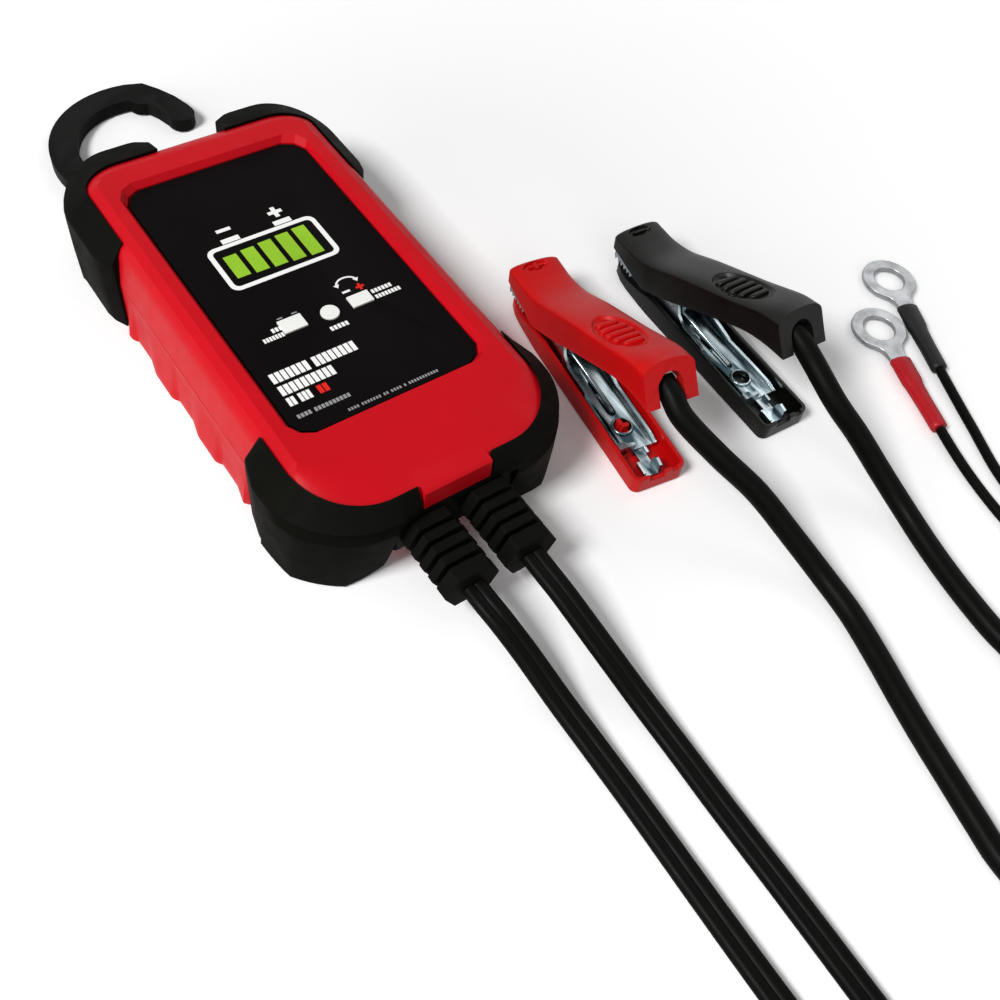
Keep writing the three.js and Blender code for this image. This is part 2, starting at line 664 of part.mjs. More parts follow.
// Put-away coil: one cord that spirals in on the lower layer, climbs, and spirals out on the upper layer.
// Each end runs straight for one cord width.
class FlatCoil extends THREE.Curve {
  constructor(x, y, turns, start, hand) {
    super();
    Object.assign(this, { y, turns, start, hand });
    this.outer = COIL.middle + (COIL.pitch * turns) / 4;
    this.inner = COIL.middle - (COIL.pitch * turns) / 4;
    this.x = x + hand * this.outer;
    this.around = 2 * Math.PI * COIL.middle * turns;
    this.total = this.around + 2 * FLAT_CORD.width;
    this.arcLengthDivisions = 1500;
    levelled(this);
  }
  at(turn) {
    const r = this.outer - COIL.pitch * Math.min(turn, this.turns - turn);
    const a = this.start + this.hand * 2 * Math.PI * turn;
    const climb = Math.min(1, Math.max(0, 2 * (turn - this.turns / 2) + 0.5));
    const z = COIL.z + COIL.layer * (0.5 - 0.5 * Math.cos(Math.PI * climb));
    return new THREE.Vector3(this.x + r * Math.cos(a), this.y + r * Math.sin(a), z);
  }
  getPoint(t, target = new THREE.Vector3()) {
    const s = t * this.total - FLAT_CORD.width;
    const inside = Math.min(this.around, Math.max(0, s));
    const turn = (inside / this.around) * this.turns;
    const heading = this.start + this.hand * 2 * Math.PI * turn;
    target.copy(this.at(turn));
    target.x -= (s - inside) * this.hand * Math.sin(heading);
    target.y += (s - inside) * this.hand * Math.cos(heading);
    return target;
  }
}

// Least air between a coil's own turns, over the three directions that can part two flat sections.
function leastGap(coil) {
  const perTurn = 48;
  const count = Math.round(coil.turns * perTurn);
  const points = Array.from({ length: count + 1 }, (_, i) => coil.at((coil.turns * i) / count));
  const slant = new THREE.Vector2(FLAT_CORD.thick, FLAT_CORD.width * (1 - SECTION_TOP)).normalize();
  let least = Infinity;
  for (let i = 0; i <= count; i++) {
    for (let j = i + perTurn / 2; j <= count; j++) {
      const flat = Math.hypot(points[i].x - points[j].x, points[i].y - points[j].y);
      const rise = Math.abs(points[i].z - points[j].z);
      const aslant = (flat - FLAT_CORD.width) * slant.x + rise * slant.y;
      least = Math.min(least, Math.max(flat - FLAT_CORD.width, rise - FLAT_CORD.thick, aslant));
    }
  }
  return least;
}

const cordSteps = (curve, width) => Math.min(80, Math.round(curve.getLength() / (2 * width)));
const flatCord = (points) => {
  const curve = levelled(through(points));
  return sweep(curve, flatSection(8), cordSteps(curve, FLAT_CORD.width / 2));
};

const AC_COIL = new FlatCoil(-5.7, -250, AC_TURNS, 0, -1);
const DC_COIL = new FlatCoil(8.9, -275, DC_TURNS, Math.PI, 1);
for (const [name, coil] of [["ac_coil", AC_COIL], ["dc_coil", DC_COIL]]) {
  console.log(name, "least gap to itself", leastGap(coil).toFixed(2), "mm");
  mesh(name, sweep(coil, flatSection(6), Math.round(coil.turns * 24) + 4), CORD);
}

const cordStart = RELIEF_FRONT - GAP;
mesh(
  "ac_cord",
  flatCord([
    [-8.3, cordStart, 13.5], [-8.1, -94, 13.2], [-7.5, -99, 12.2], [-6.2, -107, 9], [-4.9, -120, 4.6],
    [-4.2, -133, 2.4], [-4.2, -146, FLOOR_CORD_Z], [-5, -170, FLOOR_CORD_Z], [-5.6, -193, FLOOR_CORD_Z],
    [-5.7, -215, FLOOR_CORD_Z], [-5.7, -233, 2.4], [-5.7, -250 + FLAT_CORD.width + GAP, COIL.z],
  ]),
  CORD,
);
mesh(
  "dc_cord",
  flatCord([
    [8.3, cordStart, 13.5], [8.5, -95, 12.9], [8.9, -100, 12], [10.2, -116, 7.6], [11.4, -129, 3.7],
    [11.7, -143, 2.1], [11.3, -156, FLOOR_CORD_Z], [10.6, -181, FLOOR_CORD_Z], [9.8, -204, FLOOR_CORD_Z],
    [9.1, -228, FLOOR_CORD_Z], [8.9, -250, 2.2], [8.9, -275 + FLAT_CORD.width + GAP, COIL.z],
  ]),
  CORD,
);

// ---- mains plug ----
const coilTopZ = COIL.z + COIL.layer;
const PLUG = { x: AC_COIL.x - AC_COIL.outer, tail: -226, body: -208, face: -180, half: 12, thick: 6.4, z: 6.7 };
mesh(
  "ac_cord_end",
  flatCord([
    [PLUG.x, -250 + FLAT_CORD.width + GAP, coilTopZ],
    [PLUG.x, -239, coilTopZ],
    [PLUG.x, -232, PLUG.z],
    [PLUG.x, PLUG.tail - GAP, PLUG.z],
  ]),
  CORD,
);
const plugRing = (y, w, h, c) =>
  [[w, h - c], [w - c, h], [c - w, h], [-w, h - c], [-w, c - h], [c - w, -h], [w - c, -h], [w, c - h]].map(
    ([u, v]) => [PLUG.x + u, y, PLUG.z + v],
  );
mesh(
  "plug_body",
  loft(
    [
      plugRing(PLUG.face, PLUG.half - 1, PLUG.thick - 1, 2),
      plugRing(PLUG.face - 1.2, PLUG.half, PLUG.thick, 2),
      plugRing(PLUG.face - 16, PLUG.half - 0.6, PLUG.thick, 2.2),
      plugRing(PLUG.body, 6.6, 4.6, 1.8),
      plugRing(PLUG.body - 1, 4.9, 3.4, 1.2),
      plugRing(PLUG.tail, 4.2, 2.7, 1),
    ],
  ),
  BLACK,
);
for (const [name, side] of [["plug_blade_left", -1], ["plug_blade_right", 1]]) {
  const x = PLUG.x + side * 6.35;
  mesh(name, block(x - 0.75, x + 0.75, PLUG.face + 0.05, PLUG.face + 17, PLUG.z - 3.15, PLUG.z + 3.15), BRASS);
}

// A flat tie round all turns of a coil.
function coilTie(coil, angle) {
  const [w, t] = [TIE.width / 2, TIE.thick];
  const low = COIL.z - FLAT_CORD.thick / 2 - GAP;
  const high = coilTopZ + FLAT_CORD.thick / 2 + GAP;
  const inner = coil.inner - FLAT_CORD.width / 2 - GAP;
  const outer = coil.outer + FLAT_CORD.width / 2 + GAP;
  const band = cut(
    block(inner - t, outer + t, -w, w, low - t, high + t),
    block(inner, outer, -w - 1, w + 1, low, high),
  );
  return at(band.rotateZ(angle), coil.x, coil.y, 0);
}
mesh("ac_tie", coilTie(AC_COIL, -Math.PI * 0.6), BLACK);
mesh("dc_tie", coilTie(DC_COIL, Math.PI * 0.3), BLACK);

// ---- flat connectors ----
const LINE_X = 122; // middle line of the joined connectors
const JOINT_Y = -265; // where the two joined connectors meet
const LINE_Y = [JOINT_Y - CONNECTOR.length, JOINT_Y, JOINT_Y + GAP, JOINT_Y + GAP + CONNECTOR.length];
function connector(x, y0, y1) {
  const [w, h] = [CONNECTOR.width / 2, CONNECTOR.height / 2];
  const ring = (y, k) =>
    [[w, h - 1.5], [w - 1.5, h], [1.5 - w, h], [-w, h - 1.5], [-w, 1.5 - h], [1.5 - w, -h], [w - 1.5, -h], [w, 1.5 - h]].map(
      ([u, v]) => [x + u * k, y, CONNECTOR.z + v * k],
    );
  return loft([ring(y1, 0.94), ring(y1 - 1.5, 1), ring(y0 + 6, 1), ring(y0, 0.8)]);
}
mesh("dc_connector", connector(LINE_X, LINE_Y[0], LINE_Y[1]), BLACK);
mesh("clamp_connector", connector(LINE_X, LINE_Y[2], LINE_Y[3]), BLACK);
const RING_LINE = { x: 148, y: [-262, -262 + CONNECTOR.length] };
mesh("ring_connector", connector(RING_LINE.x, ...RING_LINE.y), BLACK);

mesh(
  "dc_cord_end",
  flatCord([
    [DC_COIL.x + FLAT_CORD.width + GAP, DC_COIL.y - DC_COIL.outer, coilTopZ], [73, -322.7, 6.5], [82, -322.5, 4.9],
    [92, -321.4, 2.5], [102, -317.6, FLOOR_CORD_Z], [112.6, -310.5, 2], [120, -303, 3.6], [LINE_X, LINE_Y[0] - 6, 4.7],
    [LINE_X, LINE_Y[0] - GAP, CONNECTOR.z],
  ]),
  CORD,
);

// ---- battery clamps ----
const radians = (degrees) => (degrees * Math.PI) / 180;
const [U, PZ] = [CLAMP.pivotY, CLAMP.pivotZ];

const L = CLAMP.length;
const lowerCoverSide = [
  [0, 0.2], [L - 20, 0.2], [L - 9.6, 1], [L - 4, 2.6], [L - 3.2, 5.2], [L - 4.6, 5.6], [L - 9, 4.4], [L - 14.6, 5.2],
  [L - 22.6, 6.6], [0, 5.4],
];
const lowerCoverInside = [
  [CLAMP.wall, 1.6], [L - 20.2, 1.6], [L - 10, 2.4], [L - 5, 3.8], [L - 5, 14], [CLAMP.wall, 14],
];

// The upper cover from tail to nose. Each row is its lower edge, its shoulder and its crown as (y, z), and its width.
const upperCoverRows = [
  [[4.9, 27.6], [8.3, 35.2], [9.6, 38.8], 1],
  [[11.7, 27.4], [15, 34], [16, 36.2], 1],
  [[18.2, 25.7], [21, 31.4], [22, 33.4], 1],
  [[24.5, 22.9], [27, 28.5], [28, 30.5], 1],
  [[30.9, 19.6], [33, 25.8], [34, 27.9], 1],
  [[37.6, 16.2], [39, 23.3], [40, 25.2], 1],
  [[44.5, 12.4], [45.5, 20.5], [46.5, 22.2], 1],
  [[49.3, 10], [50.5, 18.1], [51.5, 19.7], 1],
  [[54.3, 7.8], [55, 16], [56, 17.6], 1],
  [[58, 6.8], [59, 14.7], [60, 16.3], 1.02],
  [[L - 10.6, 8.1], [L - 9.6, 14], [L - 8.6, 15.9], 1.05],
  [[L - 5.6, 9.6], [L - 5.1, 14.2], [L - 4.6, 16.1], 1.08],
  [[L - 1, 10.6], [L - 0.8, 14.4], [L - 0.6, 16.2], 1.09],
  [[L - 0.4, 10.9], [L, 13.6], [L + 0.2, 15], 1.02],
];

// One domed section of the cover. Inset moves every wall inward, and reach carries the open underside down.
function coverSection([edge, shoulder, crown, width], inset, reach, push = 0) {
  const w = CLAMP.upperHalf * width - inset;
  const side = [
    [w, edge[0] + push, edge[1] - reach],
    [w, shoulder[0] + push, shoulder[1] - inset],
    [w * 0.82, (shoulder[0] + crown[0]) / 2 + push, shoulder[1] * 0.4 + crown[1] * 0.6 - inset],
    [w * 0.4, crown[0] + push, crown[1] - 0.1 - inset],
  ];
  return [...side, ...side.toReversed().map(([x, y, z]) => [-x, y, z])];
}

const upperCoverOuter = () => loft(upperCoverRows.map((row) => coverSection(row, 0, 0)).toReversed());
function upperCoverHollow() {
  const rows = upperCoverRows.slice(0, -1).filter((_, i) => i % 2 === 0);
  const push = (i) => (i === 0 ? 2.2 : i === rows.length - 1 ? -0.4 : 0);
  return loft(rows.map((row, i) => coverSection(row, CLAMP.wall, 5, push(i))).toReversed());
}

// Saw teeth from one point to another; up or down by the sign of height.
function teeth([y0, z0], [y1, z1], height, count) {
  const points = [];
  for (let i = 0; i < count; i++) {
    const along = (t, lift) => [y0 + ((y1 - y0) * t) / count, z0 + ((z1 - z0) * t) / count + lift];
    points.push(along(i, 0), along(i + 0.5, height));
  }
  return [...points, [y1, z1]];
}

function buildClamp(c) {
  const place = new THREE.Matrix4()
    .makeTranslation(c.x, c.y, 0)
    .multiply(new THREE.Matrix4().makeRotationZ(radians(c.turn)));
  const put = (name, geometry, finish) => mesh(`${c.name}_${name}`, geometry.applyMatrix4(place), finish);
  const cover = paint(c.colour, 0.42);
  const [lo, w] = [CLAMP.lowerHalf, CLAMP.wall];

  put(
    "lower_cover",
    cut(
      sideways(lowerCoverSide, -lo, lo),
      sideways(lowerCoverInside, -lo + w, lo - w),
      block(-3.6, 1.6, -1, w + 1, 3.6, 8),
    ),
    cover,
  );
  const arch = join(
    block(-ARCH.radius, ARCH.radius, 0, 13, ARCH.z - 9, ARCH.z),
    crossY(0, 0, 13, ARCH.z, ARCH.radius),
  );
  put("upper_cover", cut(upperCoverOuter(), upperCoverHollow(), arch), cover);

  // Lower jaw: a pressed channel with toothed walls at the nose, pivot ears, and a tab with a crimp at the tail.
  const half = CLAMP.lowerHalf - CLAMP.wall - 0.7;
  const lowerPlate = [
    [13.8, 2], [L - 20, 2], [L - 10.2, 2.8], [L - 5.4, 4.2], [L - 5.6, 5.2], [L - 10.4, 3.8], [L - 20.2, 3], [13.8, 3],
  ];
  const lowerWall = [
    [40, 2], [L - 20, 2], [L - 10.2, 2.8], [L - 5.4, 4.2], ...teeth([L - 5.4, 6.2], [L - 17, 5.4], 1.1, 5),
    [53.6, 7.6], [51, 11.4], [U, 13.4], [43, 11.8], [41, 8],
  ];
  const pinBore = (r) => crossRod(-20, 20, U, PZ, r, 16);
  put(
    "lower_jaw",
    cut(
      join(
        sideways(lowerPlate, -half, half),
        sideways(lowerWall, half - 1, half),
        sideways(lowerWall, -half, 1 - half),
        block(-2, 2, 6, 14, 2, 3),
        block(-3, 3, 2.4, 7.4, 2, 3),
        block(2, 3, 2.8, 7, 2, 6.2),
        block(-3, -2, 2.8, 7, 2, 4.6),
      ),
      pinBore(1.55),
      post(0, 19.6, 0, 5, 2.4, 16),
      prism([[-1.8, 26], [-0.5, 24.6], [0.8, 26], [0.8, 34], [-0.5, 37], [-1.8, 34]], 1, 4),
      prism([[-8, 13], [-5, 13], [-8, 17]], 1, 4),
      prism([[8, 13], [8, 17], [5, 13]], 1, 4),
    ),
    STEEL,
  );

  // Upper jaw: the same channel turned over, close under the cover's shoulders.
  const spine = [
    [14, 32.2], [21, 28.9], [28, 25.6], [38, 21.4], [45.5, 18], [50.5, 15.6], [55, 13.6], [59, 12.6], [L - 9.6, 12.2],
    [L - 2.2, 12.4],
  ];
  const upperPlate = [...spine, ...spine.toReversed().map(([y, z]) => [y - 0.4, z - 1])];
  const upperWall = [
    [L - 2.4, 12], [L - 9.6, 11.8], [59, 12.2], [55, 13.2], [50.5, 15.2], [45.5, 17.6], [42.4, 19], [42, 13.4], [43.4, 8],
    [U, 6.6], [50.6, 8], [53, 9.4], ...teeth([L - 17, 7.4], [L - 2.4, 9.4], -1.1, 6),
  ];
  put(
    "upper_jaw",
    cut(
      join(
        sideways(upperPlate.toReversed(), 0.3 - half, half - 0.3),
        sideways(upperWall, half - 2.3, half - 1.3),
        sideways(upperWall, 1.3 - half, 2.3 - half),
      ),
      pinBore(1.6),
    ),
    STEEL,
  );
  put("pivot_pin", crossRod(-half, half, U, PZ, 1.5, 16), STEEL);
  put("spring", jawSpring(), paint(0xa8abb0, 0.3, 1));
}

// A cylinder along Y about (x, z).
function crossY(x, y0, y1, z, radius, sides = 16) {
  return at(new THREE.CylinderGeometry(radius, radius, y1 - y0, sides), x, (y0 + y1) / 2, z);
}

// Torsion spring round the pivot: one leg lies over the lower jaw, the other under the upper jaw.
function jawSpring() {
  const [curls, wire, r, pitch] = [3.43, 1.2, 3.1, 1.6];
  const steps = Math.round(curls * 8);
  const start = radians(250);
  const reach = curls * pitch;
  const points = Array.from({ length: steps + 1 }, (_, i) => {
    const a = start + (2 * Math.PI * curls * i) / steps;
    return [-reach / 2 + (reach * i) / steps, U + r * Math.cos(a), PZ + r * Math.sin(a)];
  });
  const lowerLeg = [[-reach / 2, U - 14, 4], [-reach / 2, U - 6, 5.7]];
  const upperLeg = [[reach / 2, U - 1.4, PZ + 4.9], [reach / 2, U - 9, PZ + 9.6]];
  const path = [...lowerLeg, ...points, ...upperLeg];
  return sweep(through(path), round(wire, 5), path.length);
}

CLAMPS.forEach(buildClamp);

// ---- clamp leads ----
const lead = (points, diameter, sides) => {
  const curve = through(points);
  return sweep(curve, round(diameter, sides), cordSteps(curve, diameter));
};
// Each lead starts inside its clamp and leaves through the arch. Points are across, along and up from the clamp's tail.
const leadStart = [[0.3, 11, ARCH.z - 1], [0.5, 6.5, ARCH.z - 2.1], [0.8, 1.5, ARCH.z - 4.4]];
const onClamp = ({ x, y, turn }, points) => {
  const [c, s] = [Math.cos(radians(turn)), Math.sin(radians(turn))];
  return points.map(([v, u, z]) => [x + v * c - u * s, y + v * s + u * c, z]);
};
mesh(
  "red_lead",
  lead(
    [
      ...onClamp(CLAMPS[0], leadStart), [60.4, -93.6, 21.8], [65.6, -104.7, 16], [69.2, -117, 9.2],
      [70.8, -128, 5], [70.4, -139, 3.3], [67.5, -150.8, 3.1], [64.1, -162.2, 3.1], [61.3, -172.3, 3.1],
      [58.9, -182.1, 3.1], [56.6, -191.4, 3.1], [54.6, -200.6, 3.1], [54.8, -208, 3.1], [59.5, -216, 3.1],
      [68, -219.4, 3.1], [80, -219.6, 3.1], [94, -220, 3.1], [106, -222.5, 3.2], [114, -228, 3.8],
      [118, -234, 4.6], [118, LINE_Y[3] + GAP, CONNECTOR.z],
    ],
    LEAD_DIAMETER,
    10,
  ),
  CORD,
);
mesh(
  "black_lead",
  lead(
    [
      ...onClamp(CLAMPS[1], leadStart), [99, -96.8, 21.8], [101.6, -104.9, 16.2],
      [103.8, -114.2, 9.8], [104.3, -125.5, 5], [102.4, -137.3, 3.3], [99.6, -151.9, 3.1], [98.2, -164.8, 3.1],
      [99.4, -178, 3.1], [104, -192, 3.1], [111, -206, 3.1], [118.5, -218, 3.2], [124.4, -228, 3.9],
      [126, -233, 4.6], [126, LINE_Y[3] + GAP, CONNECTOR.z],
    ],
    LEAD_DIAMETER,
    10,
  ),
  CORD,
);

// ---- ring terminals ----
function ringSet(name, eye, sleeve, sleeveEnd, colour, wirePoints) {
  const heading = Math.atan2(sleeve[1] - eye[1], sleeve[0] - eye[0]);
  const reach = Math.hypot(sleeve[0] - eye[0], sleeve[1] - eye[1]);
  const lug = join(
    prism(round(2 * RING.outer, 28), 0, RING.thick),
    block(RING.outer - 2.5, reach + 3, -2.6, 2.6, 0, RING.thick),
  );
  const terminal = cut(lug, post(0, 0, -1, RING.thick + 1, RING.hole, 28));
  mesh(`${name}_ring_terminal`, at(terminal.rotateZ(heading), eye[0], eye[1], RING.z), STEEL);
  const direction = new THREE.Vector3(sleeveEnd[0] - sleeve[0], sleeveEnd[1] - sleeve[1], 0);
  const length = direction.length();
  direction.normalize();
  const middle = RING.z + RING.thick / 2;
  const start = new THREE.Vector3(sleeve[0], sleeve[1], middle + 0.5).addScaledVector(direction, 3.4);
  const end = new THREE.Vector3(sleeveEnd[0], sleeveEnd[1], middle);
  const flat = (p, w, h) => {
    const across = new THREE.Vector3(-direction.y, direction.x, 0);
    return round(2, 10).map(([a, b]) => [p.x + across.x * a * w, p.y + across.y * a * w, p.z + b * h]);
  };
  const sections = [[0, 3.1, 1.9], [0.34, 3.0, 2.1], [0.42, 2.5, 2.1], [1, 2.3, 2.05]];
  mesh(
    `${name}_sleeve`,
    loft(sections.map(([t, w, h]) => flat(start.clone().lerp(end, t), w, h))),
    paint(colour, 0.5),
  );
  const first = end.clone().addScaledVector(direction, GAP);
  const points = [[first.x, first.y, middle], ...wirePoints];
  mesh(`${name}_ring_wire`, lead(points, WIRE_DIAMETER, 8), CORD);
  return length;
}
const wireZ = WIRE_DIAMETER / 2 + 0.05;
ringSet("red", [150.2, -74.4], [147.3, -83.3], [137.2, -110.5], 0xb51622, [
  [134.4, -119, 1.8], [132, -128, wireZ], [129.6, -139.6, wireZ], [128.2, -154, wireZ], [128.6, -170, wireZ],
  [131.6, -188, wireZ], [136.6, -205, wireZ], [142, -219, 2.2], [145.4, -229, 4], [146, RING_LINE.y[1] + GAP, CONNECTOR.z],
]);
ringSet("black", [168.9, -61.1], [166, -69.4], [154.6, -95.2], 0x191817, [
  [151, -104, 1.8], [146.6, -115, wireZ], [139.9, -131.1, wireZ], [136.8, -146, wireZ], [137, -164, wireZ],
  [140, -184, wireZ], [144.6, -203, wireZ], [148.4, -218, 2.2], [150, -228, 4], [150, RING_LINE.y[1] + GAP, CONNECTOR.z],
]);

export default part;
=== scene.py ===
import json
import math

import bmesh
import bpy
import numpy as np
from mathutils import Matrix, Vector
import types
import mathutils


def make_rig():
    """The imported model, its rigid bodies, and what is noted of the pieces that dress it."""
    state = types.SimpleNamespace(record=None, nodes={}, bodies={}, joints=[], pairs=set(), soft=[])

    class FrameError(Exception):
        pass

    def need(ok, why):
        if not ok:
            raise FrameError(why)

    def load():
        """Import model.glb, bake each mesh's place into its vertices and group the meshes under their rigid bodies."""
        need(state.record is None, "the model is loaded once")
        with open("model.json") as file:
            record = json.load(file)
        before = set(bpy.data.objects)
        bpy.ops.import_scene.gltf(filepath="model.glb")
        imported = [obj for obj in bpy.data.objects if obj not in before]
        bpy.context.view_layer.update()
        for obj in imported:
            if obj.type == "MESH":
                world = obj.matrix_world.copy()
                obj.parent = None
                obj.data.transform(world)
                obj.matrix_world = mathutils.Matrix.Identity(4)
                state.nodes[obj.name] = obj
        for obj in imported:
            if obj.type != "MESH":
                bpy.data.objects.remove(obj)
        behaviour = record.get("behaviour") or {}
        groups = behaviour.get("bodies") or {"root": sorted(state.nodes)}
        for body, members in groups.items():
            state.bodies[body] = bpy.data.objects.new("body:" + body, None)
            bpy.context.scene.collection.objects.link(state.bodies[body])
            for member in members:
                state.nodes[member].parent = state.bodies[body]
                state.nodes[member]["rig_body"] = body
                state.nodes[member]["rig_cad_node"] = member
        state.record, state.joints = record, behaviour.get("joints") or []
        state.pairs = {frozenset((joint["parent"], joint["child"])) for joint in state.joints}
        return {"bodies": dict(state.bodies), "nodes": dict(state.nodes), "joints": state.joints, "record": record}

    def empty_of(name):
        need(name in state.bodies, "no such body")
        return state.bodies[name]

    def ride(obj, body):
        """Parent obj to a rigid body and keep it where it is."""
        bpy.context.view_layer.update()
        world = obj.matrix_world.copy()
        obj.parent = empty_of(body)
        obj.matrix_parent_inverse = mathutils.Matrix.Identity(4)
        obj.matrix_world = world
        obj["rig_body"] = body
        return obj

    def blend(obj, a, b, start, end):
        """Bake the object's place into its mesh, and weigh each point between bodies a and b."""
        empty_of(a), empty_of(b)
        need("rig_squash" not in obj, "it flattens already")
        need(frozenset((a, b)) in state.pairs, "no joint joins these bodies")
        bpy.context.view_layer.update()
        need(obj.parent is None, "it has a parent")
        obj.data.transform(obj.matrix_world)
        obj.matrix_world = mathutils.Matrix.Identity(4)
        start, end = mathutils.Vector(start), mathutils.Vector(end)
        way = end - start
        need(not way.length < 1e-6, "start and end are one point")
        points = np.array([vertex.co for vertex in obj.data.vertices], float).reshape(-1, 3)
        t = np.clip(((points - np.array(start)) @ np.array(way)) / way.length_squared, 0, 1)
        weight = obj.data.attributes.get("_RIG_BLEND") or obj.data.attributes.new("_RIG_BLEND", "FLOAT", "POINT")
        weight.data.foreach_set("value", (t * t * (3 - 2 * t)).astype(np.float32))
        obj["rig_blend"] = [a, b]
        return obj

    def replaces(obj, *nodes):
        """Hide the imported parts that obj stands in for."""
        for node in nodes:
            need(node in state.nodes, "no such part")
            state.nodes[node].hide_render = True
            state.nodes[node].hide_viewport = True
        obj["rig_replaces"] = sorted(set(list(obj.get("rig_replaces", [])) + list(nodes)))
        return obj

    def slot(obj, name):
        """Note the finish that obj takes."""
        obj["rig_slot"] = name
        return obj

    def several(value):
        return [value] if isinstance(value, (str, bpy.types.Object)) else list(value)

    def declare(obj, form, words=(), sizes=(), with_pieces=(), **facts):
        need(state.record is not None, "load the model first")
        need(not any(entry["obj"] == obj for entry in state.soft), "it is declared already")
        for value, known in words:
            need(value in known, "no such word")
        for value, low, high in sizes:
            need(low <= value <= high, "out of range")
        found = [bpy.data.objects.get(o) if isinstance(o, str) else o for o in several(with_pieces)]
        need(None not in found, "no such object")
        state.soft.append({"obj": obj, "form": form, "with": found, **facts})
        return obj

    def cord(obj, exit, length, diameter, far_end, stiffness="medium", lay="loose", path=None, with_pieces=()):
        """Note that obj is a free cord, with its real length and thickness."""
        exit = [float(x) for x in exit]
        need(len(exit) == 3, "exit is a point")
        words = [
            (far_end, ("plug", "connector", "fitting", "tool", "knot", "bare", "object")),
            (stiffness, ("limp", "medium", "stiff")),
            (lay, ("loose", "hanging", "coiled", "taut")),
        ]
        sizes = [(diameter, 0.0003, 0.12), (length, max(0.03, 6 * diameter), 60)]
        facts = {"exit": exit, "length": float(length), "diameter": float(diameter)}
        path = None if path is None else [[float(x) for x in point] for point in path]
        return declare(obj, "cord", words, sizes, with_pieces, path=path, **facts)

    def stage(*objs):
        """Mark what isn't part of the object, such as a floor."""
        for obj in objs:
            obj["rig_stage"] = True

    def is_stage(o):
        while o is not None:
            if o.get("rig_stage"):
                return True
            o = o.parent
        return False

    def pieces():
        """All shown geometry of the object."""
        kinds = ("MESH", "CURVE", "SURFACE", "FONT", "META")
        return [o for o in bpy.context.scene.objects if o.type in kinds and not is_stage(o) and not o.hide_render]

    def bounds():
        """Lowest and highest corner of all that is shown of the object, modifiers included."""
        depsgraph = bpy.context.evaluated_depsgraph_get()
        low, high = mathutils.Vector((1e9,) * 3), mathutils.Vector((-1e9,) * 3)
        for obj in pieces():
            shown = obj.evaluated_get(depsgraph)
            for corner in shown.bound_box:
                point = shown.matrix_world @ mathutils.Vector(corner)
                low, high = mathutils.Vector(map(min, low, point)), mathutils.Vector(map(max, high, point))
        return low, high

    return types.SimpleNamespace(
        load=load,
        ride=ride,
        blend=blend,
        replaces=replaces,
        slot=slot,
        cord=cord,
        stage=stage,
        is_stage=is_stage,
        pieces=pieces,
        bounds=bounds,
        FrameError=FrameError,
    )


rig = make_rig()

# The car battery charger's look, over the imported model. Sizes are millimetres in the model's frame and become
# metres where a mesh is made.
MM = 0.001

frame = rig.load()
cad_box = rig.bounds()
scene = bpy.context.scene

# ---- camera ----
CAMERA = {
    "place": (-97.96, -184.86, 230.63),
    "right": (0.8113, -0.5743, 0.1096),
    "up": (0.4202, 0.7031, 0.5736),
    "back": (-0.4065, -0.4193, 0.8118),
    "lens": 40.17,
    "sensor": 36,
}


def make_camera():
    data = bpy.data.cameras.new("camera")
    data.lens = CAMERA["lens"]
    data.sensor_width = CAMERA["sensor"]
    data.clip_start = 0.01
    camera = bpy.data.objects.new("camera", data)
    turn = Matrix((CAMERA["right"], CAMERA["up"], CAMERA["back"])).transposed().to_4x4()
    camera.matrix_world = Matrix.Translation(Vector(CAMERA["place"]) * MM) @ turn
    scene.collection.objects.link(camera)
    scene.camera = camera
    scene.view_settings.view_transform = "Standard"


# ---- materials ----
def adder(tree):
    """Gives the function that adds a shader node. Inputs are values or sockets, and one output comes back."""
    def add(kind, output, inputs, **settings):
        node = tree.nodes.new("ShaderNode" + kind)
        for name, value in settings.items():
            setattr(node, name, value)
        for name, value in inputs.items():
            if isinstance(value, bpy.types.NodeSocket):
                tree.links.new(value, node.inputs[name])
            else:
                node.inputs[name].default_value = value
        return node.outputs[output]

    return add


# How the noise of streaks is stretched, and between which values a noise or an edge goes from one tone to the other.
STREAK = (1, 0.16, 1)
BAND = {"plain": (0.3, 0.7), "streaks": (0.38, 0.62), "edge": (0.52, 0.6)}
ROUGHNESS = {"noise": 170, "low": 0.88, "high": 1.14}


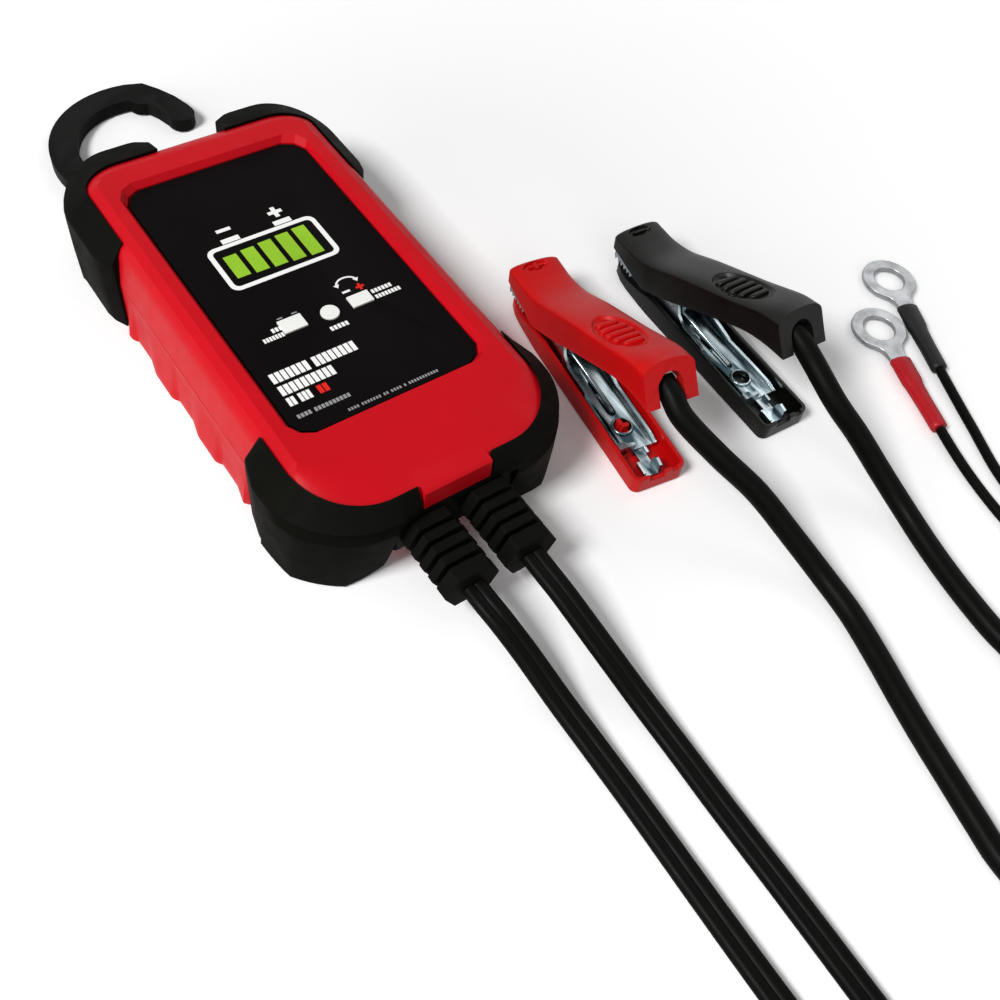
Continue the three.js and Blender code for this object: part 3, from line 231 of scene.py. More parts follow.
def material(name, colour, roughness, blotch, grain, depth, wear, gloss=0.5, metal=0, scale=60, tones=None):
    """A finish with slow changes of tone, fine grain and slightly paler worn edges. Given tones lie in streaks."""
    made = bpy.data.materials.new(name)
    made.use_nodes = True
    tree = made.node_tree
    add, shader = adder(tree), tree.nodes["Principled BSDF"].inputs
    where = add("TexCoord", "Object", {})
    streaks = add("Mapping", "Vector", {"Scale": STREAK, "Vector": where}) if tones else where

    def noise(scale, detail=4, vector=where):
        return add("TexNoise", "Fac", {"Scale": scale, "Detail": detail, "Vector": vector})

    def spread(value, low, high, band="plain"):
        ends = zip(("From Min", "From Max", "To Min", "To Max"), (*BAND[band], low, high))
        return add("MapRange", "Result", {**dict(ends), "Value": value})

    def mixed(factor, a, b):
        return add("Mix", "Result", {"Factor": factor, "A": a, "B": b}, data_type="RGBA")

    darker, lighter = tones or [tuple(min(1, c * (1 + side * blotch)) for c in colour) for side in (-1, 1)]
    worn = tuple(min(1, c * 1.25 + 0.03) for c in colour)
    change = spread(noise(scale, vector=streaks), 0, 1, "streaks" if tones else "plain")
    edge = spread(add("NewGeometry", "Pointiness", {}), 0, wear, "edge")
    linked = {
        "Base Color": mixed(edge, mixed(change, (*darker, 1), (*lighter, 1)), (*worn, 1)),
        "Roughness": spread(noise(ROUGHNESS["noise"]), roughness * ROUGHNESS["low"], roughness * ROUGHNESS["high"]),
        "Normal": add("Bump", "Normal", {"Strength": 1, "Distance": depth * MM, "Height": noise(grain, 3)}),
    }
    for socket, value in linked.items():
        tree.links.new(value, shader[socket])
    shader["Metallic"].default_value = metal
    shader["Specular IOR Level"].default_value = gloss
    return made


def linear(r, g, b):
    """A display colour, 0 to 255, as linear light."""
    return tuple(round((v / 255 / 12.92) if v < 10.3 else ((v / 255 + 0.055) / 1.055) ** 2.4, 4) for v in (r, g, b))


# Each finish: colour as displayed, roughness, strength of blotches, grain's frequency and depth, wear and gloss.
PLASTICS = {
    "case_red": ((196, 8, 24), 0.42, 0.04, 1800, 0.01, 0.08, 0.13),
    "rubber": ((9, 9, 6), 0.6, 0.15, 2600, 0.03, 0.12, 0.03),
    "label": ((11, 8, 9), 0.45, 0.15, 900, 0.003, 0.05, 0.02),
    "window": ((243, 244, 240), 0.3, 0.02, 700, 0.003, 0, 0.3),
    "black_plastic": ((9, 9, 8), 0.5, 0.14, 2200, 0.02, 0.12, 0.05),
    "board": ((28, 84, 50), 0.45, 0.2, 900, 0.02, 0.1, 0.5),
    "component_dark": ((44, 42, 40), 0.6, 0.2, 900, 0.05, 0.1, 0.5),
    "capacitor": ((35, 50, 80), 0.35, 0.08, 700, 0.005, 0.1, 0.5),
    "led": ((226, 226, 220), 0.25, 0.05, 900, 0.004, 0, 0.5),
    "cord": ((6, 6, 5), 0.4, 0.14, 1300, 0.015, 0.05, 0.05),
    "clamp_red": ((192, 10, 12), 0.36, 0.06, 1700, 0.01, 0.25, 0.16),
    "clamp_black": ((7, 7, 5), 0.3, 0.15, 1700, 0.01, 0.15, 0.22),
    "sleeve_red": ((176, 14, 26), 0.42, 0.1, 500, 0.12, 0.2, 0.25),
    "sleeve_black": ((17, 17, 16), 0.42, 0.15, 500, 0.12, 0.2, 0.22),
}
INKS = {"white": ((250, 250, 248), 0.02), "green": ((150, 200, 50), 0.12), "red": ((226, 40, 32), 0.06),
        "grey": ((150, 150, 150), 0.05)}
FINISHES = {slot: material(slot, linear(*colour), *rest) for slot, (colour, *rest) in PLASTICS.items()}
FINISHES["steel"] = material(
    "steel", (0.3, 0.34, 0.36), 0.24, 0, 600, 0.006, 0.6, metal=1, scale=330,
    tones=(linear(52, 72, 80), linear(206, 222, 226)))
FINISHES["brass"] = material("brass", (0.72, 0.52, 0.22), 0.25, 0.1, 500, 0.006, 0.1, metal=1)
FINISHES["aluminium"] = material("aluminium", (0.55, 0.57, 0.59), 0.35, 0.06, 900, 0.02, 0.1, metal=1)
# Finishes of printed marks, and of the ring terminals' metal, which is duller than the plated steel.
PRINT = {ink: material("print_" + ink, linear(*colour), 0.5, blotch, 900, 0.002, 0, 0.1)
         for ink, (colour, blotch) in INKS.items()}
TIN = material("tin", (0.36, 0.37, 0.38), 0.34, 0.3, 1400, 0.02, 0.6, metal=1, scale=260)


def dress_carried_nodes():
    """Every solid of the model that stays shown takes its slot's finish."""
    for part in frame["record"]["subparts"]:
        node = frame["nodes"][part["node"]]
        node.data.materials.clear()
        node.data.materials.append(FINISHES[part["material_slot"]])


# ---- meshes ----
SHARP = 35
WELD = 1e-7


def metres(point):
    return [c * MM for c in point]


def mesh_object(name, points, faces, sharp=SHARP):
    """A mesh piece from points in millimetres. Edges sharper than the angle stay crisp."""
    mesh = bpy.data.meshes.new(name)
    mesh.from_pydata([metres(p) for p in points], [], faces)
    work = bmesh.new()
    work.from_mesh(mesh)
    bmesh.ops.remove_doubles(work, verts=work.verts, dist=WELD)
    bmesh.ops.recalc_face_normals(work, faces=work.faces)
    work.to_mesh(mesh)
    work.free()
    obj = bpy.data.objects.new(name, mesh)
    scene.collection.objects.link(obj)
    return smooth(obj, sharp)


def smooth(obj, sharp=SHARP):
    obj.data.shade_smooth()
    obj.data.set_sharp_from_angle(angle=math.radians(sharp))
    return obj


def loft(name, loops, closed=False, sharp=SHARP):
    """Loops of equal length, skinned one to the next."""
    count = len(loops[0])
    points = [p for loop in loops for p in loop]
    faces = []
    for level in range(len(loops) if closed else len(loops) - 1):
        low, high = level * count, ((level + 1) % len(loops)) * count
        for i in range(count):
            j = (i + 1) % count
            faces.append((low + i, low + j, high + j, high + i))
    if not closed:
        faces.append(tuple(range(count))[::-1])
        faces.append(tuple(len(points) - count + i for i in range(count)))
    return mesh_object(name, points, faces, sharp)


def from_side(name, outline, x0, x1, sharp=SHARP):
    """A side view, points (y, z), widened from x0 to x1."""
    return loft(name, [[(x, y, z) for y, z in outline] for x in (x0, x1)], sharp=sharp)


def from_plan(name, outline, z0, z1, sharp=SHARP):
    """A plan, points (x, y), raised from z0 to z1."""
    return loft(name, [at_height(outline, z) for z in (z0, z1)], sharp=sharp)


def box(x0, y0, x1, y1):
    return [(x0, y0), (x1, y0), (x1, y1), (x0, y1)]


def brick(name, x0, x1, y0, y1, z0, z1):
    return from_plan(name, box(x0, y0, x1, y1), z0, z1)


def rod(name, a, b, radius, sides=32):
    """A round bar between two points."""
    a, b = np.array(a, float), np.array(b, float)
    along = unit(b - a)
    side = unit(np.cross(along, (0, 0, 1) if abs(along[2]) < 0.9 else (1, 0, 0)))
    rise = np.cross(along, side)
    return loft(name, [[p + u * side + v * rise for u, v in circle(radius, sides)] for p in (a, b)])


def settled(obj):
    """Works the object's modifiers into its mesh."""
    made = bpy.data.meshes.new_from_object(obj.evaluated_get(bpy.context.evaluated_depsgraph_get()))
    obj.modifiers.clear()
    obj.data = made
    return obj


def combined(obj, operation, others):
    for other in others:
        step = obj.modifiers.new("step", "BOOLEAN")
        step.operation = operation
        step.solver = "EXACT"
        step.object = other
        settled(obj)
        bpy.data.objects.remove(other)
    return smooth(obj)


def cut(obj, *others):
    return combined(obj, "DIFFERENCE", others)


def join(obj, *others):
    return combined(obj, "UNION", others)


def bevelled(obj, width, segments=2, angle=30, sharp=SHARP):
    """Softens the edges that turn by more than the angle."""
    step = obj.modifiers.new("bevel", "BEVEL")
    step.width = width * MM
    step.segments = segments
    step.limit_method = "ANGLE"
    step.angle_limit = math.radians(angle)
    step.use_clamp_overlap = True
    smooth(settled(obj), sharp)
    even = obj.modifiers.new("even", "WEIGHTED_NORMAL")
    even.keep_sharp = True
    return settled(obj)


def moved(obj, matrix):
    obj.data.transform(matrix)
    return obj


def finished(obj, finish, *nodes, body="charger"):
    """Gives a piece its finish and body, and lets it stand for model nodes."""
    obj.data.materials.clear()
    obj.data.materials.append(FINISHES[finish])
    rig.slot(obj, finish)
    if nodes:
        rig.replaces(obj, *nodes)
    if body:
        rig.ride(obj, body)
    return obj


# ---- lines ----
def circle(radius, sides):
    turns = [2 * math.pi * i / sides for i in range(sides)]
    return [(radius * math.cos(a), radius * math.sin(a)) for a in turns]


def arc(x, y, radius, start, end, steps):
    """Points on a circle about (x, y) from one angle to another, both ends included."""
    return [(x + radius * math.cos(a), y + radius * math.sin(a)) for a in np.linspace(start, end, steps + 1)]


def rounded(half_width, half_height, radius, steps=5):
    """A rectangle with round corners about the origin, counter-clockwise."""
    points = []
    for i, (sx, sy) in enumerate(((1, 1), (-1, 1), (-1, -1), (1, -1))):
        x, y, start = sx * (half_width - radius), sy * (half_height - radius), math.pi / 2 * i
        points += arc(x, y, radius, start, start + math.pi / 2, steps)
    return points


def both_sides(right):
    """An outline from its right half, mirrored about x = 0."""
    return right + [(-x, y) for x, y in reversed(right)]


def shifted(points, x, y):
    return [(x + u, y + v) for u, v in points]


def at_height(points, z):
    return [(x, y, z) for x, y in points]


def unit(vector):
    return vector / np.linalg.norm(vector)


def between(t, low, high, p, q):
    return ((high - t) * p + (t - low) * q) / (high - low)


def through(points, per_span=8):
    """A centripetal Catmull-Rom line through hand-chosen points."""
    p = [np.array(q, float) for q in points]
    p = [2 * p[0] - p[1], *p, 2 * p[-1] - p[-2]]
    line = []
    for i in range(1, len(p) - 2):
        knots = [0.0]
        for a in (i - 1, i, i + 1):
            knots.append(knots[-1] + np.linalg.norm(p[a + 1] - p[a]) ** 0.5)
        t0, t1, t2, t3 = knots
        for t in np.linspace(t1, t2, per_span, endpoint=False):
            a1, a2 = between(t, t0, t1, p[i - 1], p[i]), between(t, t1, t2, p[i], p[i + 1])
            a3 = between(t, t2, t3, p[i + 1], p[i + 2])
            line.append(between(t, t1, t2, between(t, t0, t2, a1, a2), between(t, t1, t3, a2, a3)))
    return [*line, p[-2]]


def length_of(line):
    return sum(float(np.linalg.norm(b - a)) for a, b in zip(line, line[1:]))


def ahead_at(line, i):
    return unit(line[min(i + 1, len(line) - 1)] - line[max(i - 1, 0)])


def tube(name, line, section):
    """A section carried along a line, its width kept level."""
    loops = []
    for i, p in enumerate(line):
        ahead = ahead_at(line, i)
        across = unit(np.array([ahead[1], -ahead[0], 0.0]))
        rise = np.cross(across, ahead)
        loops.append([p + u * across + v * rise for u, v in section])
    return loft(name, loops, sharp=60)


def wire_tube(name, line, radius, sides=20):
    """A round tube along a line in space, its section turned as little as possible."""
    loops, side = [], None
    for i, p in enumerate(line):
        ahead = ahead_at(line, i)
        if side is None:
            side = np.cross(ahead, (0, 0, 1) if abs(ahead[2]) < 0.9 else (1, 0, 0))
        side = unit(side - ahead * float(side @ ahead))
        rise = np.cross(side, ahead)
        loops.append([p + radius * (u * side + v * rise) for u, v in circle(1, sides)])
    return loft(name, loops, sharp=60)


# ---- flat cords ----
GAP = 0.3
FLAT = {"width": 6.4, "thick": 3.4, "groove": 0.5}
COIL = {"middle": 35.2, "pitch": 6.9, "layer": 3.9, "z": 2.75}
COIL_TOP_Z = COIL["z"] + COIL["layer"]
FLOOR_CORD_Z = 1.8
RELIEF_FRONT_Y = -89.0
RELIEF_Z = 13.5


def flat_section(steps=5):
    """Two jackets side by side with a groove between them."""
    lobe = FLAT["thick"] / 2
    centre = FLAT["width"] / 2 - lobe
    top = arc(centre, 0, lobe, 0, math.pi / 2, steps)
    top += [(centre * 0.4, lobe * 0.95), (0.0, lobe - FLAT["groove"])]
    top += [(-u, v) for u, v in top[-2::-1]]
    return top + [(-u, -v) for u, v in top[1:-1]]


def coil_outer(coil):
    return COIL["middle"] + COIL["pitch"] * coil["turns"] / 4


def coil_line(coil, per_turn=72):
    """One cord that spirals in on the lower layer, climbs, and spirals out on the upper layer."""
    centre = coil["x"] + coil["hand"] * coil_outer(coil)
    turns = coil["turns"]
    line = []
    for i in range(round(turns * per_turn) + 1):
        turn = i / per_turn
        r = coil_outer(coil) - COIL["pitch"] * min(turn, turns - turn)
        a = coil["start"] + coil["hand"] * 2 * math.pi * turn
        climb = min(1, max(0, 2 * (turn - turns / 2) + 0.5))
        z = COIL["z"] + COIL["layer"] * (0.5 - 0.5 * math.cos(math.pi * climb))
        line.append(np.array([centre + r * math.cos(a), coil["y"] + r * math.sin(a), z]))
    return line


AC_COIL = {"x": -5.7, "y": -250, "turns": 7.5, "start": 0, "hand": -1}
DC_COIL = {"x": 8.9, "y": -275, "turns": 7.25, "start": math.pi, "hand": 1}
PLUG_X = AC_COIL["x"] - 2 * coil_outer(AC_COIL)
PLUG_Z = 6.7
PLUG_TAIL_Y = -226
DC_END_X = DC_COIL["x"] + coil_outer(DC_COIL)
DC_END_Y = DC_COIL["y"] - coil_outer(DC_COIL)
LINE_X = 122
# Where the tails of the output connector and of the clamp connector lie.
TAIL_Y = {"output": -291, "clamps": -238.7}
CONNECTOR_Z = 4.8

AC_ROUTE = [
    (-8.3, RELIEF_FRONT_Y - GAP, RELIEF_Z), (-8.1, -94, 13.2), (-7.5, -99, 12.2), (-6.2, -107, 9), (-4.9, -120, 4.6),
    (-4.2, -133, 2.4), *at_height([(-4.2, -146), (-5, -170), (-5.6, -193), (-5.7, -215)], FLOOR_CORD_Z),
    (-5.7, -233, 2.4), (-5.7, -243.3, COIL["z"]),
]
AC_END = [
    (PLUG_X, -243.3, COIL_TOP_Z), (PLUG_X, -239, COIL_TOP_Z), (PLUG_X, -232, PLUG_Z),
    (PLUG_X, PLUG_TAIL_Y - GAP, PLUG_Z),
]
DC_ROUTE = [
    (8.3, RELIEF_FRONT_Y - GAP, RELIEF_Z), (8.5, -95, 12.9), (8.9, -100, 12), (10.2, -116, 7.6), (11.4, -129, 3.7),
    (11.7, -143, 2.1), *at_height([(11.3, -156), (10.6, -181), (9.8, -204), (9.1, -228)], FLOOR_CORD_Z),
    (8.9, -250, 2.2), (8.9, -268.3, COIL["z"]),
]
DC_END = [
    (DC_END_X + FLAT["width"] + GAP, DC_END_Y, COIL_TOP_Z), (73, -322.7, 6.5), (82, -322.5, 4.9),
    (92, -321.4, 2.5), (102, -317.6, FLOOR_CORD_Z), (112.6, -310.5, 2), (120, -303, 3.6), (LINE_X, -297, 4.7),
    (LINE_X, TAIL_Y["output"] - GAP, CONNECTOR_Z),
]


def flat_cord(name, route, coil, end, far_end, replaced, pieces):
    line = through(route) + coil_line(coil) + through(end)
    obj = finished(tube(name, line, flat_section()), "cord", *replaced)
    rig.cord(
        obj, metres(route[0]), length_of(line) * MM, FLAT["width"] * MM, far_end, stiffness="medium", lay="coiled",
        path=[p * MM for p in line], with_pieces=pieces,
    )


# ---- the case outline ----
CASE = {"half": 36.2, "back": 68.5, "front": -68.5, "back_round": 14, "front_round": 20, "split": 15, "deck": 29.3}
LEAN = {"depth": 4.2, "top": 21}
SIDE_END = {"back": 34, "front": -38}
INNER_END = 10
FLARE = {"out": 2.0, "press": 1.3, "pitch": 24, "start": 28.6, "low": -36, "high": 32, "top": 13}


def plan_points(side_step=1.0, arc_steps=18):
    """(x, y, outward x, outward y) all round the case, counter-clockwise."""
    low, high = SIDE_END["front"], SIDE_END["back"]
    count = round((high - low) / side_step)
    points = []

    def corner(x_sign, y_sign, start):
        r, end = (CASE["back_round"], CASE["back"]) if y_sign > 0 else (CASE["front_round"], CASE["front"])
        for i in range(arc_steps + 1):
            a = start + math.pi / 2 * i / arc_steps
            x, y = math.cos(a), math.sin(a)
            points.append((x_sign * (CASE["half"] - r) + r * x, end - y_sign * r + r * y, x, y))

    for sign, end, start in ((1, "back", 0), (-1, "front", math.pi)):
        for i in range(count + 1):
            y = low + (high - low) * i / count
            points.append((sign * CASE["half"], y if sign > 0 else low + high - y, sign, 0))
        corner(sign, sign, start)
        points += [(x, CASE[end], 0, sign) for x in (INNER_END * sign, -INNER_END * sign)]
        corner(-sign, sign, sign * math.pi / 2)
    return points


def lean(z):
    """How far the front wall leans in at a height."""
    return LEAN["depth"] * max(0.0, 1 - z / LEAN["top"])


def placed(p, level, extra=0.0):
    """A plan point moved out and up as a level (side, back, front), each (out, z), says."""
    x, y, nx, ny = p
    end = level[2] if ny < 0 else level[1]
    share = nx * nx
    z = share * level[0][1] + (1 - share) * end[1]
    inward = lean(z) if ny < -1e-6 else 0.0
    return (x + nx * (level[0][0] + extra), y + ny * (end[0] + extra) + inward, z)


def flat_level(z, side, back=None, front=None):
    return ((side, z), (side if back is None else back, z), (side if front is None else front, z))


def flare_at(y):
    """How far the lower side wall stands out at the floor, with its finger scallops."""
    if not FLARE["low"] < y < FLARE["high"]:
        return 0.0
    edge = min(1, (FLARE["high"] - y) / 2, (y - FLARE["low"]) / 2)
    t = ((FLARE["start"] - y) / FLARE["pitch"]) % 1
    press = min(1, max(0, t / 0.07)) * (1 - min(1, max(0, (t - 0.4) / 0.22)))
    return edge * (FLARE["out"] - FLARE["press"] * press)


SHOULDER = [
    flat_level(CASE["split"] + GAP / 2, 0),
    ((-1.2, 24.5), (-1.6, 24.5), (-0.6, 24.5)),
    ((-2.0, 26.6), (-3.6, 26.6), (-1.5, 26.6)),
    ((-3.4, 28.2), (-6.2, 28.2), (-8.0, 28.2)),
    flat_level(CASE["deck"], -5.7, -9.5, -16),
]
LABEL = {"half": 26, "low": -42.5, "high": 51.5, "top": 27.5, "thick": 1.2, "chamfer": 5}
WINDOWS = {
    "battery_window": (-9.7, -10.2, 6.5, 4.5, False),
    "status_window": (0.2, -11.3, 4.9, 4.9, True),
    "power_window": (9.2, -10.9, 6.1, 4.0, False),
}
ROOF_Z = 24
WALL = 2


def label_outline(grow):
    x, low, high, c = LABEL["half"] + grow, LABEL["low"] - grow, LABEL["high"] + grow, LABEL["chamfer"]
    right = [
        (x - c, low), (x - c * 0.35, low + c * 0.35), (x, low + c), (x, high - c),
        (x - c * 0.35, high - c * 0.35), (x - c, high),
    ]
    return both_sides(right)


def window_outline(window, grow):
    x, y, width, length, is_round = window
    a, b = width / 2 + grow, length / 2 + grow
    if is_round:
        return shifted(circle(a, 48), x, y)
    return box(x - a, y - b, x + a, y + b)


RELIEF_X = 8.3


HOLE = {"half_x": 4.8, "half_z": 3.8, "out": 4, "into": 9}


def front_holes():
    a, b, y, z = HOLE["half_x"], HOLE["half_z"], CASE["front"], RELIEF_Z
    return [brick("hole", x - a, x + a, y - HOLE["out"], y + HOLE["into"], z - b, z + b)
            for x in (-RELIEF_X, RELIEF_X)]


def case_hollow(low, high):
    rough = plan_points(18, 6)
    return loft("hollow", [[placed(p, flat_level(z, -WALL)) for p in rough] for z in (low, high)])


# Side view of the nose between the front bumpers, (from the front, up), and half its width.
NOSE_SIDE = ((5, 20.6), (-1, 20.6), (-1, 26.2), (-0.4, 26.7), (5, 27.3))
NOSE_HALF = 9.3


def make_case_top():
    plan = plan_points(4)
    shell = loft("case_top", [[placed(p, level) for p in plan] for level in SHOULDER])
    hollow = case_hollow(CASE["split"] - 1, ROOF_Z)
    floor = LABEL["top"] - LABEL["thick"] - GAP
    recess = loft("recess", [
        at_height(label_outline(grow), z) for grow, z in ((0.3, floor), (0.4, LABEL["top"]), (1.6, CASE["deck"] + 0.2))
    ])
    nose = from_side("nose", shifted(NOSE_SIDE, CASE["front"], 0), -NOSE_HALF, NOSE_HALF)
    windows = [from_plan("w", window_outline(w, GAP), ROOF_Z - 1, CASE["deck"]) for w in WINDOWS.values()]
    shell = cut(join(cut(shell, hollow), nose), recess, *windows, *front_holes())
    finished(bevelled(shell, 0.25, 2, angle=22, sharp=30), "case_red", "top_shell")


def make_case_bottom():
    plan = plan_points(1)
    loops = []
    for z in (0, 1.0, 3, 5, 7, 9, 11, FLARE["top"], CASE["split"] - GAP / 2):
        loop = []
        for p in plan:
            x, y, _ = placed(p, flat_level(z, -0.5 * max(0, 1 - z)))
            spread = flare_at(p[1]) * max(0, 1 - z / FLARE["top"]) if p[3] == 0 else 0
            loop.append((x + p[2] * spread, y, z))
        loops.append(loop)
    shell = loft("case_bottom", loops)
    shell = cut(shell, case_hollow(6.8, CASE["split"] + 1), *hook_cuts(), *front_holes(), *screw_cuts())
    finished(bevelled(shell, 0.2, 2, angle=40, sharp=30), "case_red", "bottom_shell")


# ---- hanging hook ----
HOOK = {"y": 97.6, "radius": 25.1, "width": 8.2, "low": 0.6, "high": 4.6}
HINGE = {"y": 67, "z": 2.6, "barrel": 2.3, "half": 8.8, "pin": 1.2, "pin_half": 12.4}
GROOVE = {"margin": 0.7, "top": 5.2}
MOUTH = {"margin": 2.1, "depth": 1.1}
ROOT = {"left": -6.5, "right": 4.5, "long": 5.5, "room": 0.05}
KNUCKLE = {"x": 7.8, "y": 119.2, "radius": 4.9}


# The ring's first angle and its turn, in degrees, and the points that lead on to the tip.
HOOK_ARC = {"start": 265, "turn": -193, "steps": 24}
HOOK_TIP = ((10.2, 117.6), (12.7, 112.6), (14.2, 107.6), (14.5, 105.6))


def hook_line(fine=False):
    """The hook's middle line. A fine one has twice the points, except where it bends to the tip."""
    line, steps = [], HOOK_ARC["steps"]
    places = [i / 2 for i in range(2 * steps - 8)] + list(range(steps - 4, steps + 1)) if fine else range(steps + 1)
    for i in places:
        a = math.radians(HOOK_ARC["start"] + HOOK_ARC["turn"] * i / steps)
        line.append(np.array((HOOK["radius"] * math.cos(a), HOOK["y"] + HOOK["radius"] * math.sin(a))))
    return line + [np.array(p) for p in HOOK_TIP]


def strip(line, width, tip_steps=12):
    """Both edges of a band that follows a line, with a round far end."""
    left, right = [], []
    for i, p in enumerate(line):
        ahead = ahead_at(line, i)
        out = np.array([-ahead[1], ahead[0]]) * width / 2
        left.append(p + out)
        right.append(p - out)
    middle = (left[-1] + right[-1]) / 2
    start = math.atan2(*(left[-1] - middle)[::-1])
    return left + arc(*middle, width / 2, start, start - math.pi, tip_steps)[1:-1] + right[::-1]


def knuckle_outline(grow):
    return shifted(circle(KNUCKLE["radius"] + grow, 48), KNUCKLE["x"], KNUCKLE["y"])


def folded(outline):
    return [(x, 2 * HINGE["y"] - y) for x, y in outline]


def hook_cuts():
    """The groove that the folded hook lies in, and the notch for its hinge."""
    line = hook_line()
    margin = GROOVE["margin"]
    wide = strip([line[0] + (line[0] - line[1]) * 0.4, *line], HOOK["width"] + 2 * margin)
    mouth = strip(line[:4], HOOK["width"] + 2 * MOUTH["margin"])
    y = HINGE["y"]
    return [
        from_plan("groove", folded(wide), -1, GROOVE["top"]),
        from_plan("groove", folded(knuckle_outline(margin)), -1, GROOVE["top"]),
        brick("root", ROOT["left"] - margin, ROOT["right"] + margin, y - 6.2, y + 6, -1, GROOVE["top"]),
        brick("notch", -HINGE["half"] - 0.4, HINGE["half"] + 0.4, y - 3.2, y + 8, -1, GROOVE["top"] + 0.2),
        from_plan("mouth", mouth, -1, MOUTH["depth"]),
        from_plan("mouth", folded(mouth), -1, MOUTH["depth"]),
    ]


def make_hook():
    y, z = HINGE["y"], HINGE["z"]
    band = from_plan("hanging_hook_body", strip(hook_line(True), HOOK["width"]), HOOK["low"], HOOK["high"])
    hook = join(
        band,
        from_plan("knuckle", knuckle_outline(0), HOOK["low"], HOOK["high"]),
        brick(
            "root", ROOT["left"], ROOT["right"], y, y + ROOT["long"], HOOK["low"] + ROOT["room"],
            HOOK["high"] - ROOT["room"]),
        rod("barrel", (-HINGE["half"], y, z), (HINGE["half"], y, z), HINGE["barrel"]),
    )
    hook = cut(hook, rod("bore", (-20, y, z), (20, y, z), HINGE["pin"] + 0.05))
    finished(bevelled(hook, 0.45, 3, angle=50), "black_plastic", "hanging_hook", body="hook")


SCREWS = {"back_left": (-29, 58), "back_right": (29, 58), "front_left": (-25, -50), "front_right": (25, -50)}
SCREW = {"pocket": 3.2, "depth": 3.8, "head": 2.8, "low": 1.6, "high": 3.5, "shank": 1.5, "end": 22}
CROSS_SLOT = {"reach": 1.7, "half": 0.35, "depth": 2.6}


def screw_cuts():
    pocket = circle(SCREW["pocket"], 32)
    return [from_plan("pocket", shifted(pocket, x, y), -1, SCREW["depth"]) for x, y in SCREWS.values()]


# ---- corner bumpers ----
# Each level is (side, back, front) reach and height. The strip is a pressed band that fades at the bumper's ends.
BUMPER_OUTSIDE = [
    (flat_level(0, 2.6, 2.0, 1.4), 0),
    (flat_level(0.8, 3.2, 2.6, 2.0), 0),
    (flat_level(12, 3.7, 3.1, 2.9), 0),
    (flat_level(18.4, 3.9, 3.2, 3.2), 0),
    (flat_level(18.7, 3.9, 3.2, 3.2), 0.3),
    (flat_level(21.6, 3.9, 3.2, 3.2), 2.6),
    (flat_level(21.8, 3.9, 3.2, 3.2), 3.4),
    (flat_level(22.2, 3.8, 3.1, 3.1), 3.4),
    (((3.7, 22.4), (3.1, 25.6), (3.0, 22.4)), 0.4),
    (((3.4, 23), (2.7, 26.9), (2.7, 23)), 0),
    (((-2.4, 28.2), (-5.2, 28.8), (-0.9, 27.4)), 0),
    (((-2.7, 28.4), (-5.5, 28.8), (-1.2, 27.5)), 0),
]
# The lower part of a corner is cut in facets, and the front corners bulge toward the floor.
CORNER = {"radius": 20, "facet": 30, "top": 21, "bulge": 2.4, "lean": 2.1}
BUMPER_INSIDE = [
    (((-2.7, 27.3), (-5.5, 27.7), (-1.2, 26.2)), GAP),
    (SHOULDER[2], GAP),
    (SHOULDER[1], GAP),
    (SHOULDER[0], GAP),
    (flat_level(0, 0), GAP),
]


def bumper_stations(back, arc_steps=18):
    r = CASE["back_round"] if back else CASE["front_round"]
    end, sign = (CASE["back"], 1) if back else (CASE["front"], -1)
    side_end = SIDE_END["back"] if back else SIDE_END["front"]
    cx, cy = CASE["half"] - r, end - sign * r
    stations = [(CASE["half"], side_end + (cy - side_end) * t, 1, 0) for t in np.linspace(0, 0.9, 7)]
    for i in range(arc_steps + 1):
        a = math.pi / 2 * i / arc_steps
        stations.append((cx + r * math.cos(a), cy + sign * r * math.sin(a), math.cos(a), sign * math.sin(a)))
    stations += [(cx + (INNER_END - cx) * t, end, 0, sign) for t in np.linspace(0.15, 1, 7)]
    return stations


def make_bumper(name, sx, back):
    loops = []
    for p in bumper_stations(back):
        along_side = abs(p[1] - (SIDE_END["back"] if back else SIDE_END["front"])) if p[3] == 0 else 99
        along_end = abs(p[0]) - INNER_END if abs(p[2]) < 1e-9 else 99
        ends = min(along_side, along_end)
        fade = min(1, 0.25 + 0.75 * ends / 4 if back else 0.45 + 0.55 * ends / 7)
        turn = math.degrees(math.atan2(abs(p[3]), p[2]))
        pressed = 0 if back else min(1, max(0, (turn - 14) / 4)) * min(1, max(0, (along_end - 5) / 3))
        corner = 2 * abs(p[2] * p[3])
        facet = CORNER["radius"] * (1 / math.cos(math.radians(turn % CORNER["facet"] - CORNER["facet"] / 2)) - 1)
        loop = []
        for level, press in BUMPER_OUTSIDE:
            reach = tuple((o * fade - press * pressed * 0.5 if o > 0 else o, z) for o, z in level)
            x, y, z = placed(p, reach)
            low = max(0.0, 1 - z / CORNER["top"])
            out = (facet if corner > 0.01 else 0) * min(1, 2 * low) + (0 if back else CORNER["bulge"] * corner * low)
            y -= 0 if back else CORNER["lean"] * corner * low
            loop.append((x + p[2] * out, y + p[3] * out, z))
        loop += [placed(p, level, extra) for level, extra in BUMPER_INSIDE]
        loops.append([(sx * x, y, z) for x, y, z in loop])
    bumper = loft(name + "_body", loops)
    if back and sx < 0:
        bumper = cut(bumper, brick("hook_way", -15, 9, CASE["back"], CASE["back"] + 9, -1, GROOVE["top"]))
    if not back:
        bumper = cut(bumper, brick("cord_way", -16.6, 16.6, CASE["front"] - 9, CASE["front"] + 9, -1, 20.5))
    finished(bevelled(bumper, 0.3, 2, angle=50, sharp=32), "rubber", name)


